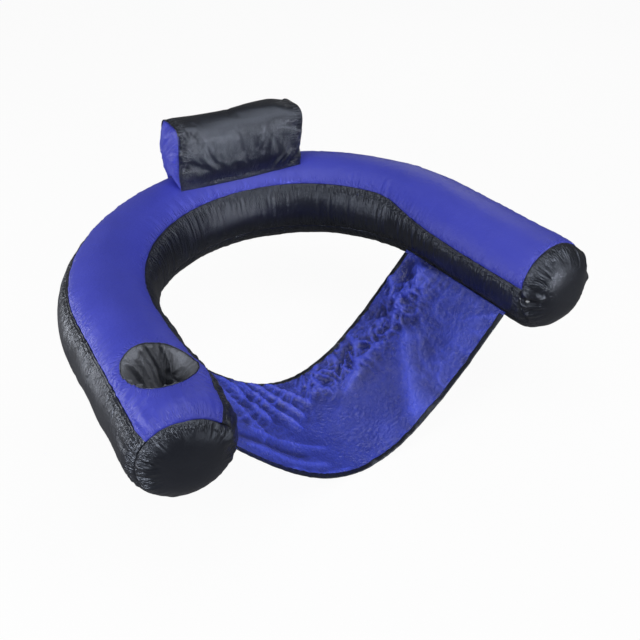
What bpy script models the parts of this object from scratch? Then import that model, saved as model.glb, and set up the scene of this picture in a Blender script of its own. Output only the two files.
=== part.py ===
"""Inflatable pool chair: a horseshoe air tube in a sewn nylon cover, a headrest, a cup holder and a seat sling.

Metres, +Z up. The origin is the centre of the tube's back arc at the height of the tube's centreline, which is
where the water stands on the loaded float. The sitter faces -Y, so the right arm, with the cup holder, is at -X.
"""

import math

import bmesh
import bpy
from mathutils import Vector

# Tube
tube_radius = 0.0925
arc_radius = 0.370
arm_length = 0.289
arm_splay = math.radians(3.1)
end_bulge = 0.0625
end_roundness = 0.8
cap_seam_turn = math.radians(28)
arc_facets = 18
arm_facets = 2
zip_facets_per_arc_facet = 4
zip_zone_arc_facets = 3

# Cover, underlay and air film
cover_thickness = 0.0010
underlay_thickness = 0.0008
film_thickness = 0.0006
layer_gap = 0.0003
bladder_inset = cover_thickness + underlay_thickness + 2 * layer_gap

# Seams, as turns about the tube's centreline from its top, outward positive
inner_top_seam = math.radians(-57)
outer_top_seam = math.radians(46)
inner_bottom_seam = math.radians(-118)
outer_bottom_seam = math.radians(118)
seam_gap = 0.0008
seam_tape_width = 0.014

# Zips: a flat band of the cover, two tapes with a slit between them, a coil on each, slider, tab and stops
band_height = 0.028
tape_height = 0.009
slit_height = 0.0012
coil_height = 0.0026
coil_depth = 0.0010
slider_length = 0.013
slider_plate = 0.0009
slider_lip = 0.0008
slider_web = 0.0006
bridge_length = 0.0050
bridge_height = 0.0026
bridge_width = 0.0016
bridge_wire = 0.0008
tab_length = 0.024
tab_width = 0.0075
tab_thickness = 0.0010
tab_bar = 0.0010
tab_slot_length = 0.0042
tab_slot_width = 0.0024
stop_length = 0.0030
stop_depth = 0.0013
run_clearance = 0.0003

main_zip_half_turns = 10
main_slider_rest_angle = math.radians(-20)
headrest_zip_length = 0.150
headrest_zip_centre = -0.030
headrest_slider_rest = -0.090

# Valves: a welded base with a collar, a stem that pushes in and a plug
valve_flange_radius = 0.012
valve_bore_radius = 0.0063
valve_collar_wall = 0.0012
valve_collar_depth = 0.0120
stem_lip_radius = 0.0080
stem_wall = 0.0017
stem_lip_thickness = 0.0012
stem_depth = 0.0120
plug_head_radius = 0.0075
plug_head_thickness = 0.0015
plug_shank_depth = 0.0065
eyelet_clearance = 0.0008
eyelet_width = 0.0040
eyelet_thickness = 0.0010
main_valve_facet = 5.5
headrest_valve_place = 0.095
round_steps = 16

# Cup holder in the right arm
# The hole's edges stand at these turns about the tube, just inside the top panel's seams
cup_from_arm_end = 0.091
cup_inner_edge = math.radians(-55.2)
cup_outer_edge = math.radians(27.7)
cup_depth = 0.100
cup_waist_depth = 0.055
cup_waist_taper = 0.0095
cup_floor_taper = 0.0185
pocket_thickness = 0.0008
rim_width = 0.005
rim_thickness = 0.0012
rim_lift = 0.0007
cup_steps = 24

# Headrest, in a frame turned about the arc's centre
headrest_turn = math.radians(7.3)
headrest_half_width = 0.1390
headrest_front_reach = 0.050
headrest_back_reach = 0.042
headrest_front_curve_radius = 0.62
headrest_skirt_drop = 0.040
headrest_base_clearance = 0.0005
headrest_band_height = 0.0275
headrest_rise = 0.1285
headrest_lean = 0.006
headrest_squareness = 4.6
headrest_front_shift = 0.010
headrest_end_draw = 0.005
headrest_end_bulge = 0.008
headrest_arch_facets = 12

# Seat sling
sling_thickness = 0.0008
sling_front = arm_length
sling_rear = -0.005
sling_front_skew = 0.014
sling_rear_skew = 0.015
sling_front_sag = 0.222
sling_rear_sag = 0.206
sling_low_shift_share = 0.07
sling_seam_gap = 0.0014
sling_columns = 26
sling_rows = 10
binding_width = 0.010
binding_wall = 0.0006
binding_gap = 0.0005
hem_width = 0.012
hem_thickness = 0.0008
# Main folds: place across, place from front to rear, half length and half width, all as shares of the sling
fold_place_shares = ((-0.62, 0.55), (-0.45, 0.70), (0.30, 0.86), (0.66, 0.78), (0.42, 0.30))
fold_reach_shares = ((0.30, 0.10), (0.28, 0.09), (0.16, 0.12), (0.10, 0.22), (0.09, 0.36))
fold_turns = (math.radians(35), math.radians(40), math.radians(20), math.radians(80), math.radians(85))
fold_heights = (0.005, 0.005, 0.006, 0.005, 0.004)

arc_half_angle = math.pi / 2 - arm_splay
arc_step = 2 * arc_half_angle / arc_facets
zip_step = arc_step / zip_facets_per_arc_facet
band_half_turn = math.asin(band_height / 2 / tube_radius)
zip_face_radius = arc_radius + tube_radius * math.cos(band_half_turn)
zip_half_height = tape_height + slit_height / 2
cup_hole_radius = tube_radius * (math.sin(cup_outer_edge) - math.sin(cup_inner_edge)) / 2
cup_inward = -tube_radius * (math.sin(cup_outer_edge) + math.sin(cup_inner_edge)) / 2
cup_along_arm = arm_length - cup_from_arm_end
cup_waist_radius = cup_hole_radius - cup_waist_taper
cup_floor_radius = cup_hole_radius - cup_floor_taper
headrest_front = arc_radius - headrest_front_reach
headrest_back = arc_radius + headrest_back_reach
headrest_skirt_bottom = tube_radius - headrest_skirt_drop
headrest_base_height = tube_radius + headrest_base_clearance
headrest_band_top = headrest_base_height + headrest_band_height
headrest_top = tube_radius + headrest_rise
zip_level = headrest_base_height + headrest_band_height / 2


def clear_scene():
    for obj in list(bpy.data.objects):
        bpy.data.objects.remove(obj, do_unlink=True)


def finish_material(name, colour, roughness, metallic=0.0):
    material = bpy.data.materials.new(name)
    material.use_nodes = True
    shader = material.node_tree.nodes["Principled BSDF"]
    shader.inputs["Base Color"].default_value = (*colour, 1.0)
    shader.inputs["Roughness"].default_value = roughness
    shader.inputs["Metallic"].default_value = metallic
    material.diffuse_color = (*colour, 1.0)
    return material


def frame_empty(name, turn, location=(0, 0, 0)):
    """An empty turned about Z, which carries pieces that are modelled square to it."""
    empty = bpy.data.objects.new(name, None)
    empty.rotation_euler = (0, 0, -turn)
    empty.location = location
    bpy.context.scene.collection.objects.link(empty)
    return empty


def add_object(name, points, faces, material, smooth=True, parent=None, location=(0, 0, 0)):
    mesh = bpy.data.meshes.new(name)
    mesh.from_pydata([tuple(p) for p in points], [], faces)
    mesh.update()
    if smooth:
        mesh.shade_smooth()
        mesh.set_sharp_from_angle(angle=math.radians(40))
    obj = bpy.data.objects.new(name, mesh)
    if material is None:
        obj.hide_render = True
        obj.display_type = "WIRE"
    else:
        mesh.materials.append(material)
    obj.parent = parent
    obj.location = location
    bpy.context.scene.collection.objects.link(obj)
    return obj


def face_outwards(obj):
    """Turns every face of a closed body outwards."""
    shape = bmesh.new()
    shape.from_mesh(obj.data)
    bmesh.ops.recalc_face_normals(shape, faces=shape.faces)
    shape.to_mesh(obj.data)
    shape.free()
    return obj


def grid_faces(rows, columns, closed_columns=False):
    """Quads of a grid of rows by columns, which closes on itself across the columns if asked."""
    faces = []
    last = columns if closed_columns else columns - 1
    for i in range(rows - 1):
        for j in range(last):
            k = (j + 1) % columns
            faces.append((i * columns + j, i * columns + k, (i + 1) * columns + k, (i + 1) * columns + j))
    return faces


def add_wall(obj, thickness, offset=-1.0):
    """Gives a fabric or film surface its thickness, towards its back face."""
    wall = obj.modifiers.new("wall", "SOLIDIFY")
    wall.thickness = thickness
    wall.offset = offset
    wall.use_even_offset = True
    return obj


def cut(obj, cutter, operation="DIFFERENCE"):
    modifier = obj.modifiers.new(cutter.name, "BOOLEAN")
    modifier.operation = operation
    modifier.solver = "EXACT"
    modifier.object = cutter
    return obj


def swept_bar(name, stations, material, closed=False, parent=None, smooth=True):
    """A bar whose cross-section is given as points at each station, with flat ends unless it closes."""
    count = len(stations[0])
    points = [p for station in stations for p in station]
    faces = grid_faces(len(stations), count, closed_columns=True)
    if closed:
        last = (len(stations) - 1) * count
        faces += [(last + j, last + (j + 1) % count, (j + 1) % count, j) for j in range(count)]
    else:
        faces.append(tuple(range(count)))
        faces.append(tuple(reversed(range(len(points) - count, len(points)))))
    return face_outwards(add_object(name, points, faces, material, smooth, parent))


def turned(name, profile, material, parent=None, location=(0, 0, 0)):
    """A body turned about the local Y axis from (radius, out) points, open or closed on the axis."""
    points = []
    rings = []
    for radius, out in profile:
        if radius == 0:
            rings.append([len(points)] * round_steps)
            points.append((0, out, 0))
            continue
        rings.append(list(range(len(points), len(points) + round_steps)))
        for step in range(round_steps):
            turn = 2 * math.pi * step / round_steps
            points.append((radius * math.cos(turn), out, radius * math.sin(turn)))
    on_axis = profile[0][0] == 0
    pairs = list(zip(rings, rings[1:] if on_axis else rings[1:] + rings[:1]))
    faces = []
    for first, second in pairs:
        for step in range(round_steps):
            after = (step + 1) % round_steps
            corners = (first[step], first[after], second[after], second[step])
            faces.append(tuple(dict.fromkeys(corners)))
    return face_outwards(add_object(name, points, faces, material, True, parent, location))


def box_section(low_out, high_out, low_up, high_up):
    return [(low_out, low_up), (high_out, low_up), (high_out, high_up), (low_out, high_up)]


# The tube's path: each station is a place on the centreline, its outward direction and the tube's share of radius


def arc_station(angle, share=1.0):
    outward = Vector((math.sin(angle), math.cos(angle), 0))
    return outward * arc_radius, outward, share


def arm_station(side, distance, share=1.0):
    start = Vector((side * math.sin(arc_half_angle), math.cos(arc_half_angle), 0)) * arc_radius
    along = Vector((side * math.sin(arm_splay), -math.cos(arm_splay), 0))
    outward = Vector((side * math.cos(arm_splay), math.sin(arm_splay), 0))
    return start + along * distance, outward, share


def dome_station(side, turn, inset=0.0):
    """A station on the rounded arm end: the turn runs from 0 where the arm ends to a quarter at the tip."""
    share = math.cos(turn) ** end_roundness
    return arm_station(side, arm_length + (end_bulge - inset) * math.sin(turn), share)


def path_station(side, distance):
    """A station by its distance past the end of the arc, which may be negative."""
    if distance < 0:
        return arc_station(side * (arc_half_angle + distance / arc_radius))
    return arm_station(side, distance)


def arc_angles(fine_zone=False):
    angles = []
    for i in range(arc_facets):
        low = -arc_half_angle + i * arc_step
        middle = abs(i + 0.5 - arc_facets / 2)
        parts = zip_facets_per_arc_facet if fine_zone and middle < zip_zone_arc_facets else 1
        angles += [low + arc_step * part / parts for part in range(parts)]
    return angles + [arc_half_angle]


def shoulder_turns():
    return [cap_seam_turn * share for share in (0.5, 0.75, 1.0)]


def tube_path(fine_zone=False, shoulders=True):
    """Stations from the left arm's end to the right arm's end."""
    arms = [arm_length * (i + 1) / arm_facets for i in range(arm_facets)]
    right = [arm_station(-1, distance) for distance in arms]
    left = [arm_station(1, distance) for distance in reversed(arms)]
    if shoulders:
        right = right + [dome_station(-1, turn) for turn in shoulder_turns()]
        left = [dome_station(1, turn) for turn in reversed(shoulder_turns())] + left
    return left + [arc_station(angle) for angle in reversed(arc_angles(fine_zone))] + right


def even_angles(low, high, parts):
    return [low + (high - low) * i / parts for i in range(parts + 1)]


inner_side_angles = even_angles(inner_bottom_seam, inner_top_seam, 4)
top_angles = even_angles(inner_top_seam, outer_top_seam, 7)
outer_side_angles = (
    even_angles(outer_top_seam, math.pi / 2 - band_half_turn, 2)
    + [math.pi / 2 + band_half_turn, outer_bottom_seam]
)
bottom_angles = even_angles(outer_bottom_seam, 2 * math.pi + inner_bottom_seam, 6)
ring_angles = inner_side_angles[:-1] + top_angles[:-1] + outer_side_angles[:-1] + bottom_angles[:-1]


def tube_point(station, angle, inset=0.0):
    """A corner of the faceted tube, pulled in from the cover's outer face by the inset."""
    centre, outward, share = station
    radius = (tube_radius - inset) * share
    return centre + outward * (radius * math.sin(angle)) + Vector((0, 0, radius * math.cos(angle)))


def facet_point(station, angle, inset):
    """A point on the faceted tube between two of its corners."""
    corners = ring_angles + [ring_angles[0] + 2 * math.pi]
    if angle < corners[0]:
        angle += 2 * math.pi
    for low, high in zip(corners, corners[1:]):
        if low <= angle <= high:
            share = (angle - low) / (high - low)
            return tube_point(station, low, inset).lerp(tube_point(station, high, inset), share)
    return tube_point(station, angle, inset)


def panel(name, path, angles, material):
    """A cover panel, whose long edges stop half the seam gap short of the seam lines."""
    trim = seam_gap / 2 / tube_radius
    angles = [angles[0] + trim] + angles[1:-1] + [angles[-1] - trim]
    points = [tube_point(station, angle) for station in path for angle in angles]
    obj = add_object(name, points, grid_faces(len(path), len(angles)), material)
    return add_wall(obj, cover_thickness)


def seam_tape(name, seam, material):
    half_turn = seam_tape_width / 2 / tube_radius
    inset = cover_thickness + layer_gap
    angles = (seam - half_turn, seam, seam + half_turn)
    path = tube_path(shoulders=False)
    points = [facet_point(station, angle, inset) for station in path for angle in angles]
    obj = add_object(name, points, grid_faces(len(path), len(angles)), material)
    return add_wall(obj, underlay_thickness)


def ring_of(station, inset=0.0):
    return [tube_point(station, angle, inset) for angle in ring_angles]


def end_cap(name, side, material):
    """The black domed end: rings from just past the seam to the tip."""
    start = cap_seam_turn + seam_gap / (end_bulge * math.cos(cap_seam_turn))
    turns = [start, cap_seam_turn * 1.25] + even_angles(cap_seam_turn * 1.7, math.radians(76), 2)
    rings = [ring_of(dome_station(side, turn)) for turn in turns]
    tip = dome_station(side, math.pi / 2)[0]
    points = [p for ring in rings for p in ring] + [tip]
    count = len(ring_angles)
    faces = grid_faces(len(rings), count, closed_columns=True)
    last = (len(rings) - 1) * count
    faces += [(last + j, last + (j + 1) % count, len(points) - 1) for j in range(count)]
    if side > 0:
        faces = [tuple(reversed(face)) for face in faces]
    return add_wall(add_object(name, points, faces, material), cover_thickness)


def cap_seam_tape(name, side, material):
    inset = cover_thickness + layer_gap
    turns = [cap_seam_turn * share for share in (0.75, 1.0, 1.25)]
    rings = [ring_of(dome_station(side, turn, inset), inset) for turn in turns]
    points = [p for ring in rings for p in ring]
    faces = grid_faces(len(rings), len(ring_angles), closed_columns=True)
    if side > 0:
        faces = [tuple(reversed(face)) for face in faces]
    return add_wall(add_object(name, points, faces, material), film_thickness)


def air_tube(name, material):
    """The main bladder: a closed film tube with domed ends, one inset inside the cover."""
    turns = [math.radians(78), math.radians(55), cap_seam_turn]
    left = [dome_station(1, turn, bladder_inset) for turn in turns]
    right = [dome_station(-1, turn, bladder_inset) for turn in reversed(turns)]
    path = left + tube_path(shoulders=False) + right
    rings = [ring_of(station, bladder_inset) for station in path]
    tips = [dome_station(side, math.pi / 2, bladder_inset)[0] for side in (1, -1)]
    points = [p for ring in rings for p in ring] + tips
    count = len(ring_angles)
    faces = grid_faces(len(rings), count, closed_columns=True)
    last = (len(rings) - 1) * count
    first_tip, last_tip = len(points) - 2, len(points) - 1
    faces += [((j + 1) % count, j, first_tip) for j in range(count)]
    faces += [(last + j, last + (j + 1) % count, last_tip) for j in range(count)]
    return add_wall(face_outwards(add_object(name, points, faces, material)), film_thickness)


def round_cutter(name, radius, low, high, parent=None, location=(0, 0, 0)):
    """A round cutter along the local Y axis."""
    profile = [(0, low), (radius, low), (radius, high), (0, high)]
    return turned(name, profile, None, parent, location)


# Zip: pieces are modelled in a local frame, X along the zip, Y out of the cover, Z up


def slider(name, material, parent, location):
    """Two plates joined by a thin web in the slit, lips round the coils and a bridge for the tab."""
    plate_low = layer_gap + coil_depth + run_clearance
    plate_high = plate_low + slider_plate
    under_high = -cover_thickness - run_clearance
    under_low = under_high - slider_plate
    lip_low = run_clearance + layer_gap / 2
    lip_inner = slit_height / 2 + coil_height + run_clearance
    half = lip_inner + slider_lip
    web = slider_web / 2
    upper = [
        (under_low, half), (under_high, half), (under_high, web), (plate_low, web), (plate_low, lip_inner),
        (lip_low, lip_inner), (lip_low, half), (plate_high, half),
    ]
    outline = upper + [(out, -up) for out, up in reversed(upper)]
    stations = [
        [(along, out, up) for out, up in outline] for along in (-slider_length / 2, slider_length / 2)
    ]
    body = swept_bar(name, stations, material, parent=parent, smooth=False)
    body.location = location
    foot = bridge_length / 2
    head = plate_high + bridge_height
    arch = [
        (-foot, plate_high - slider_plate / 2), (-foot, head), (foot, head), (foot, plate_high - slider_plate / 2),
        (foot - bridge_wire, plate_high - slider_plate / 2), (foot - bridge_wire, head - bridge_wire),
        (bridge_wire - foot, head - bridge_wire), (bridge_wire - foot, plate_high - slider_plate / 2),
    ]
    sides = [[(x, y, z) for x, y in arch] for z in (-bridge_width / 2, bridge_width / 2)]
    bridge = swept_bar(name + "_bridge", sides, None, parent=parent, smooth=False)
    bridge.location = location
    return cut(body, bridge, "UNION")


def tab_axis_height():
    """How far the pull tab's axis stands off the tape's face."""
    plate_high = layer_gap + coil_depth + run_clearance + slider_plate
    return plate_high + (bridge_height - bridge_wire) / 2


def pull_tab(name, material, parent, location):
    """A flat tab with a slot at its root, whose bar runs under the slider's bridge."""
    half = tab_width / 2
    slot = tab_slot_width / 2
    bar = tab_bar / 2
    neck = bar + tab_slot_length
    tip_cut = tab_width / 4
    outer = [
        (-bar, -half), (neck, -half), (tab_length - tip_cut, -half), (tab_length, -half + tip_cut),
        (tab_length, half - tip_cut), (tab_length - tip_cut, half), (neck, half), (-bar, half),
    ]
    sides = [[(x, y, z) for x, z in outer] for y in (-tab_thickness / 2, tab_thickness / 2)]
    tab = swept_bar(name, sides, material, parent=parent, smooth=False)
    tab.location = location
    opening = box_section(bar, neck, -slot, slot)
    sides = [[(x, y, z) for x, z in opening] for y in (-tab_thickness, tab_thickness)]
    window = swept_bar(name + "_slot", sides, None, parent=parent, smooth=False)
    window.location = location
    return cut(tab, window)


def zip_sections():
    """The tapes' and coils' cross-sections as (out, up) points."""
    slit = slit_height / 2
    tape = box_section(-cover_thickness, 0, slit, slit + tape_height)
    coil_mid = layer_gap + coil_depth / 2
    coil = [
        (layer_gap, slit), (coil_mid, slit), (layer_gap + coil_depth, slit + coil_height / 4),
        (layer_gap + coil_depth, slit + coil_height * 3 / 4), (coil_mid, slit + coil_height),
        (layer_gap, slit + coil_height),
    ]
    return tape, coil


def mirrored_down(section):
    return [(out, -up) for out, up in section]


def main_zip(materials):
    """The zip across the back: it bends about the arc's centre, so its slider turns about that axis."""
    tape, coil = zip_sections()

    def track(section, angles):
        return [
            [
                Vector((math.sin(angle), math.cos(angle), 0)) * (zip_face_radius + out) + Vector((0, 0, up))
                for out, up in section
            ]
            for angle in angles
        ]

    turns = range(-main_zip_half_turns, main_zip_half_turns + 1)
    tape_angles = [turn * zip_step for turn in turns]
    coil_angles = tape_angles[1:-1]
    swept_bar("main_zip_upper_tape", track(tape, tape_angles), materials["tape"], smooth=False)
    swept_bar("main_zip_lower_tape", track(mirrored_down(tape), tape_angles), materials["tape"], smooth=False)
    swept_bar("main_zip_upper_coil", track(coil, coil_angles), materials["coil"], smooth=False)
    swept_bar("main_zip_lower_coil", track(mirrored_down(coil), coil_angles), materials["coil"], smooth=False)
    stop_height = slit_height / 2 + coil_height
    stop = box_section(layer_gap, layer_gap + stop_depth, -stop_height, stop_height)
    for name, side in (("main_zip_right_stop", -1), ("main_zip_left_stop", 1)):
        middle = side * ((main_zip_half_turns - 1) * zip_step + stop_length / zip_face_radius)
        reach = stop_length / 2 / zip_face_radius
        swept_bar(name, track(stop, (middle - reach, middle + reach)), materials["coil"], smooth=False)
    axis = frame_empty("main_zip_slider_axis", main_slider_rest_angle)
    slider("main_zip_slider", materials["metal"], axis, (0, zip_face_radius, 0))
    pull_tab("main_zip_pull_tab", materials["metal"], axis, (0, zip_face_radius + tab_axis_height(), 0))


def main_zip_slot():
    """The cutter for the cover's slot, which clears the tapes all round."""
    half_height = zip_half_height + layer_gap
    reach = main_zip_half_turns * zip_step + layer_gap / zip_face_radius
    section = box_section(-band_height / 4, band_height / 4, -half_height, half_height)
    angles = [-reach] + [turn * zip_step for turn in range(1 - main_zip_half_turns, main_zip_half_turns)] + [reach]
    stations = [
        [
            Vector((math.sin(angle), math.cos(angle), 0)) * (zip_face_radius + out) + Vector((0, 0, up))
            for out, up in section
        ]
        for angle in angles
    ]
    return swept_bar("main_zip_slot", stations, None, smooth=False)


# Valves: modelled in a local frame whose Y axis points out of the cover and whose origin is on its outer face


def valve(prefix, materials, parent, location):
    disc_high = -cover_thickness - layer_gap
    disc_low = disc_high - underlay_thickness
    collar_outer = valve_bore_radius + valve_collar_wall
    collar_low = disc_high - valve_collar_depth
    base = [
        (valve_bore_radius, disc_high), (valve_flange_radius, disc_high), (valve_flange_radius, disc_low),
        (collar_outer, disc_low), (collar_outer, collar_low), (valve_bore_radius, collar_low),
    ]
    turned(prefix + "_valve_base", base, materials["film"], parent, location)
    stem_outer = valve_bore_radius - run_clearance
    stem_inner = stem_outer - stem_wall
    lip_low = disc_high + run_clearance
    lip_high = lip_low + stem_lip_thickness
    stem_low = lip_low - stem_depth
    stem = [
        (stem_inner, lip_high), (stem_lip_radius, lip_high), (stem_lip_radius, lip_low),
        (stem_outer, lip_low), (stem_outer, stem_low), (stem_inner, stem_low),
    ]
    turned(prefix + "_valve_stem", stem, materials["valve"], parent, location)
    shank = stem_inner - run_clearance
    head_low = lip_high + run_clearance
    plug = [
        (0, head_low + plug_head_thickness), (plug_head_radius, head_low + plug_head_thickness),
        (plug_head_radius, head_low), (shank, head_low), (shank, head_low - plug_shank_depth),
        (0, head_low - plug_shank_depth),
    ]
    turned(prefix + "_valve_plug", plug, materials["valve"], parent, location)
    hole = stem_lip_radius + eyelet_clearance
    eyelet = [
        (hole, layer_gap), (hole + eyelet_width, layer_gap), (hole + eyelet_width, layer_gap + eyelet_thickness / 2),
        (hole + eyelet_width * 0.7, layer_gap + eyelet_thickness), (hole, layer_gap + eyelet_thickness),
    ]
    turned(prefix + "_valve_eyelet", eyelet, materials["black_fabric"], parent, location)


def cover_valve_cutter(name, parent, location):
    radius = stem_lip_radius + eyelet_clearance
    return round_cutter(name, radius, -cover_thickness * 3, cover_thickness * 3, parent, location)


def film_valve_cutter(name, parent, location):
    radius = valve_bore_radius + valve_collar_wall + layer_gap
    return round_cutter(name, radius, -valve_collar_depth / 2, cover_thickness, parent, location)


# Cup holder: a pocket in the right arm, upright, with its rim on the tube's surface


def cup_centre():
    centre, outward, _share = arm_station(-1, cup_along_arm)
    return centre - outward * cup_inward


def cup_plan_point(turn, radius):
    return cup_centre() + Vector((math.cos(turn), math.sin(turn), 0)) * radius


def arm_surface_height(place, inset=0.0):
    """The height of the right arm's round surface above a place in plan."""
    centre, outward, _share = arm_station(-1, cup_along_arm)
    aside = (place - centre).dot(outward)
    radius = tube_radius - inset
    return math.sqrt(radius * radius - aside * aside)


def cup_turns():
    return [2 * math.pi * i / cup_steps for i in range(cup_steps)]


def cup_cutter(name, radius):
    low, high = [], []
    for turn in cup_turns():
        place = cup_plan_point(turn, radius)
        low.append(place)
        high.append(place + Vector((0, 0, tube_radius * 2)))
    return swept_bar(name, [low, high], None)


def cup_ring(radius, height):
    return [cup_plan_point(turn, radius) + Vector((0, 0, height)) for turn in cup_turns()]


def cup_sides(out, inset, floor):
    """The pocket's tapering sides, from a rim on the tube's surface down to the floor."""
    rim = [cup_plan_point(turn, cup_hole_radius + out) for turn in cup_turns()]
    return [
        [place + Vector((0, 0, arm_surface_height(place, inset))) for place in rim],
        cup_ring(cup_waist_radius + out, tube_radius - cup_waist_depth),
        cup_ring(cup_floor_radius + out, floor),
    ]


def cup_holder(materials):
    """Pocket wall, pocket floor, rim binding and the bladder's well round them."""
    floor = tube_radius - cup_depth
    rows = cup_sides(-layer_gap, 0.0, floor)
    faces = grid_faces(len(rows), cup_steps, closed_columns=True)
    wall = add_object("cup_pocket_wall", [p for row in rows for p in row], faces, materials["black_fabric"])
    add_wall(wall, pocket_thickness, offset=1.0)
    radius = cup_floor_radius - pocket_thickness - 2 * layer_gap
    rows = [cup_ring(radius, floor), cup_ring(radius, floor + pocket_thickness)]
    swept_bar("cup_pocket_floor", rows, materials["black_fabric"])

    well_floor = floor - layer_gap - film_thickness
    rows = cup_sides(film_thickness, bladder_inset, well_floor)
    points = [p for row in rows for p in row]
    faces = grid_faces(len(rows), cup_steps, closed_columns=True)
    last = len(points) - cup_steps
    faces.append(tuple(range(last, len(points))))
    add_wall(add_object("cup_well", points, faces, materials["film"]), film_thickness, offset=1.0)

    stations = []
    for turn in cup_turns():
        station = []
        for radius, rise in (
            (cup_hole_radius + layer_gap, 0), (cup_hole_radius + rim_width, 0),
            (cup_hole_radius + rim_width, rim_thickness / 2), (cup_hole_radius + rim_width / 2, rim_thickness),
            (cup_hole_radius + layer_gap, rim_thickness),
        ):
            place = cup_plan_point(turn, radius)
            station.append(place + Vector((0, 0, arm_surface_height(place, -rim_lift - rise))))
        stations.append(station)
    swept_bar("cup_rim_binding", stations, materials["black_fabric"], closed=True)


# Headrest: modelled in a frame turned about the arc's centre, X across, Y away from the sitter


def headrest_arch(across, inset, draw):
    """One arch of the headrest, from the front wall's foot over the top to the back wall's foot.

    Towards its top the front stands a little to the sitter's left of the back.
    """
    front = headrest_front - across * across / (2 * headrest_front_curve_radius) + inset
    back = headrest_back - inset
    middle = (front + back) / 2
    half = (back - front) / 2
    rise = headrest_top - headrest_band_top - inset - draw
    arch = []
    for i in range(headrest_arch_facets + 1):
        turn = math.pi * i / headrest_arch_facets
        cosine, sine = math.cos(turn), math.sin(turn)
        sideways = math.copysign(abs(cosine) ** (2 / headrest_squareness), cosine)
        upward = abs(sine) ** (2 / headrest_squareness)
        lean = headrest_lean * upward * upward
        y = middle - (half - draw * upward) * sideways - lean
        forward_share = (headrest_back - y) / (headrest_back - headrest_front)
        shift = headrest_front_shift * forward_share * upward
        arch.append((across + shift, y, headrest_band_top + rise * upward))
    return front, back, arch


def headrest_loop(across, inset, draw, bottom):
    front, back, arch = headrest_arch(across, inset, draw)
    return [Vector(place) for place in [(across, front, bottom)] + arch + [(across, back, bottom)]]


def headrest_places(half_width):
    """Places across the headrest from left to right, closer together where its ends are drawn in."""
    return [half_width * share for share in (1.0, 0.86, 0.5, 0.0, -0.5, -0.86, -1.0)]


def draw_at(across):
    return headrest_end_draw * (abs(across) / headrest_half_width) ** 4


def tube_cutter():
    """The tube grown by the gap, which trims whatever stands on it."""
    angles = [angle for angle in arc_angles() if abs(angle) < arc_step * 6.5]
    stations = [ring_of(arc_station(angle), -layer_gap) for angle in angles]
    return swept_bar("tube_cutter", stations, None)


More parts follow.
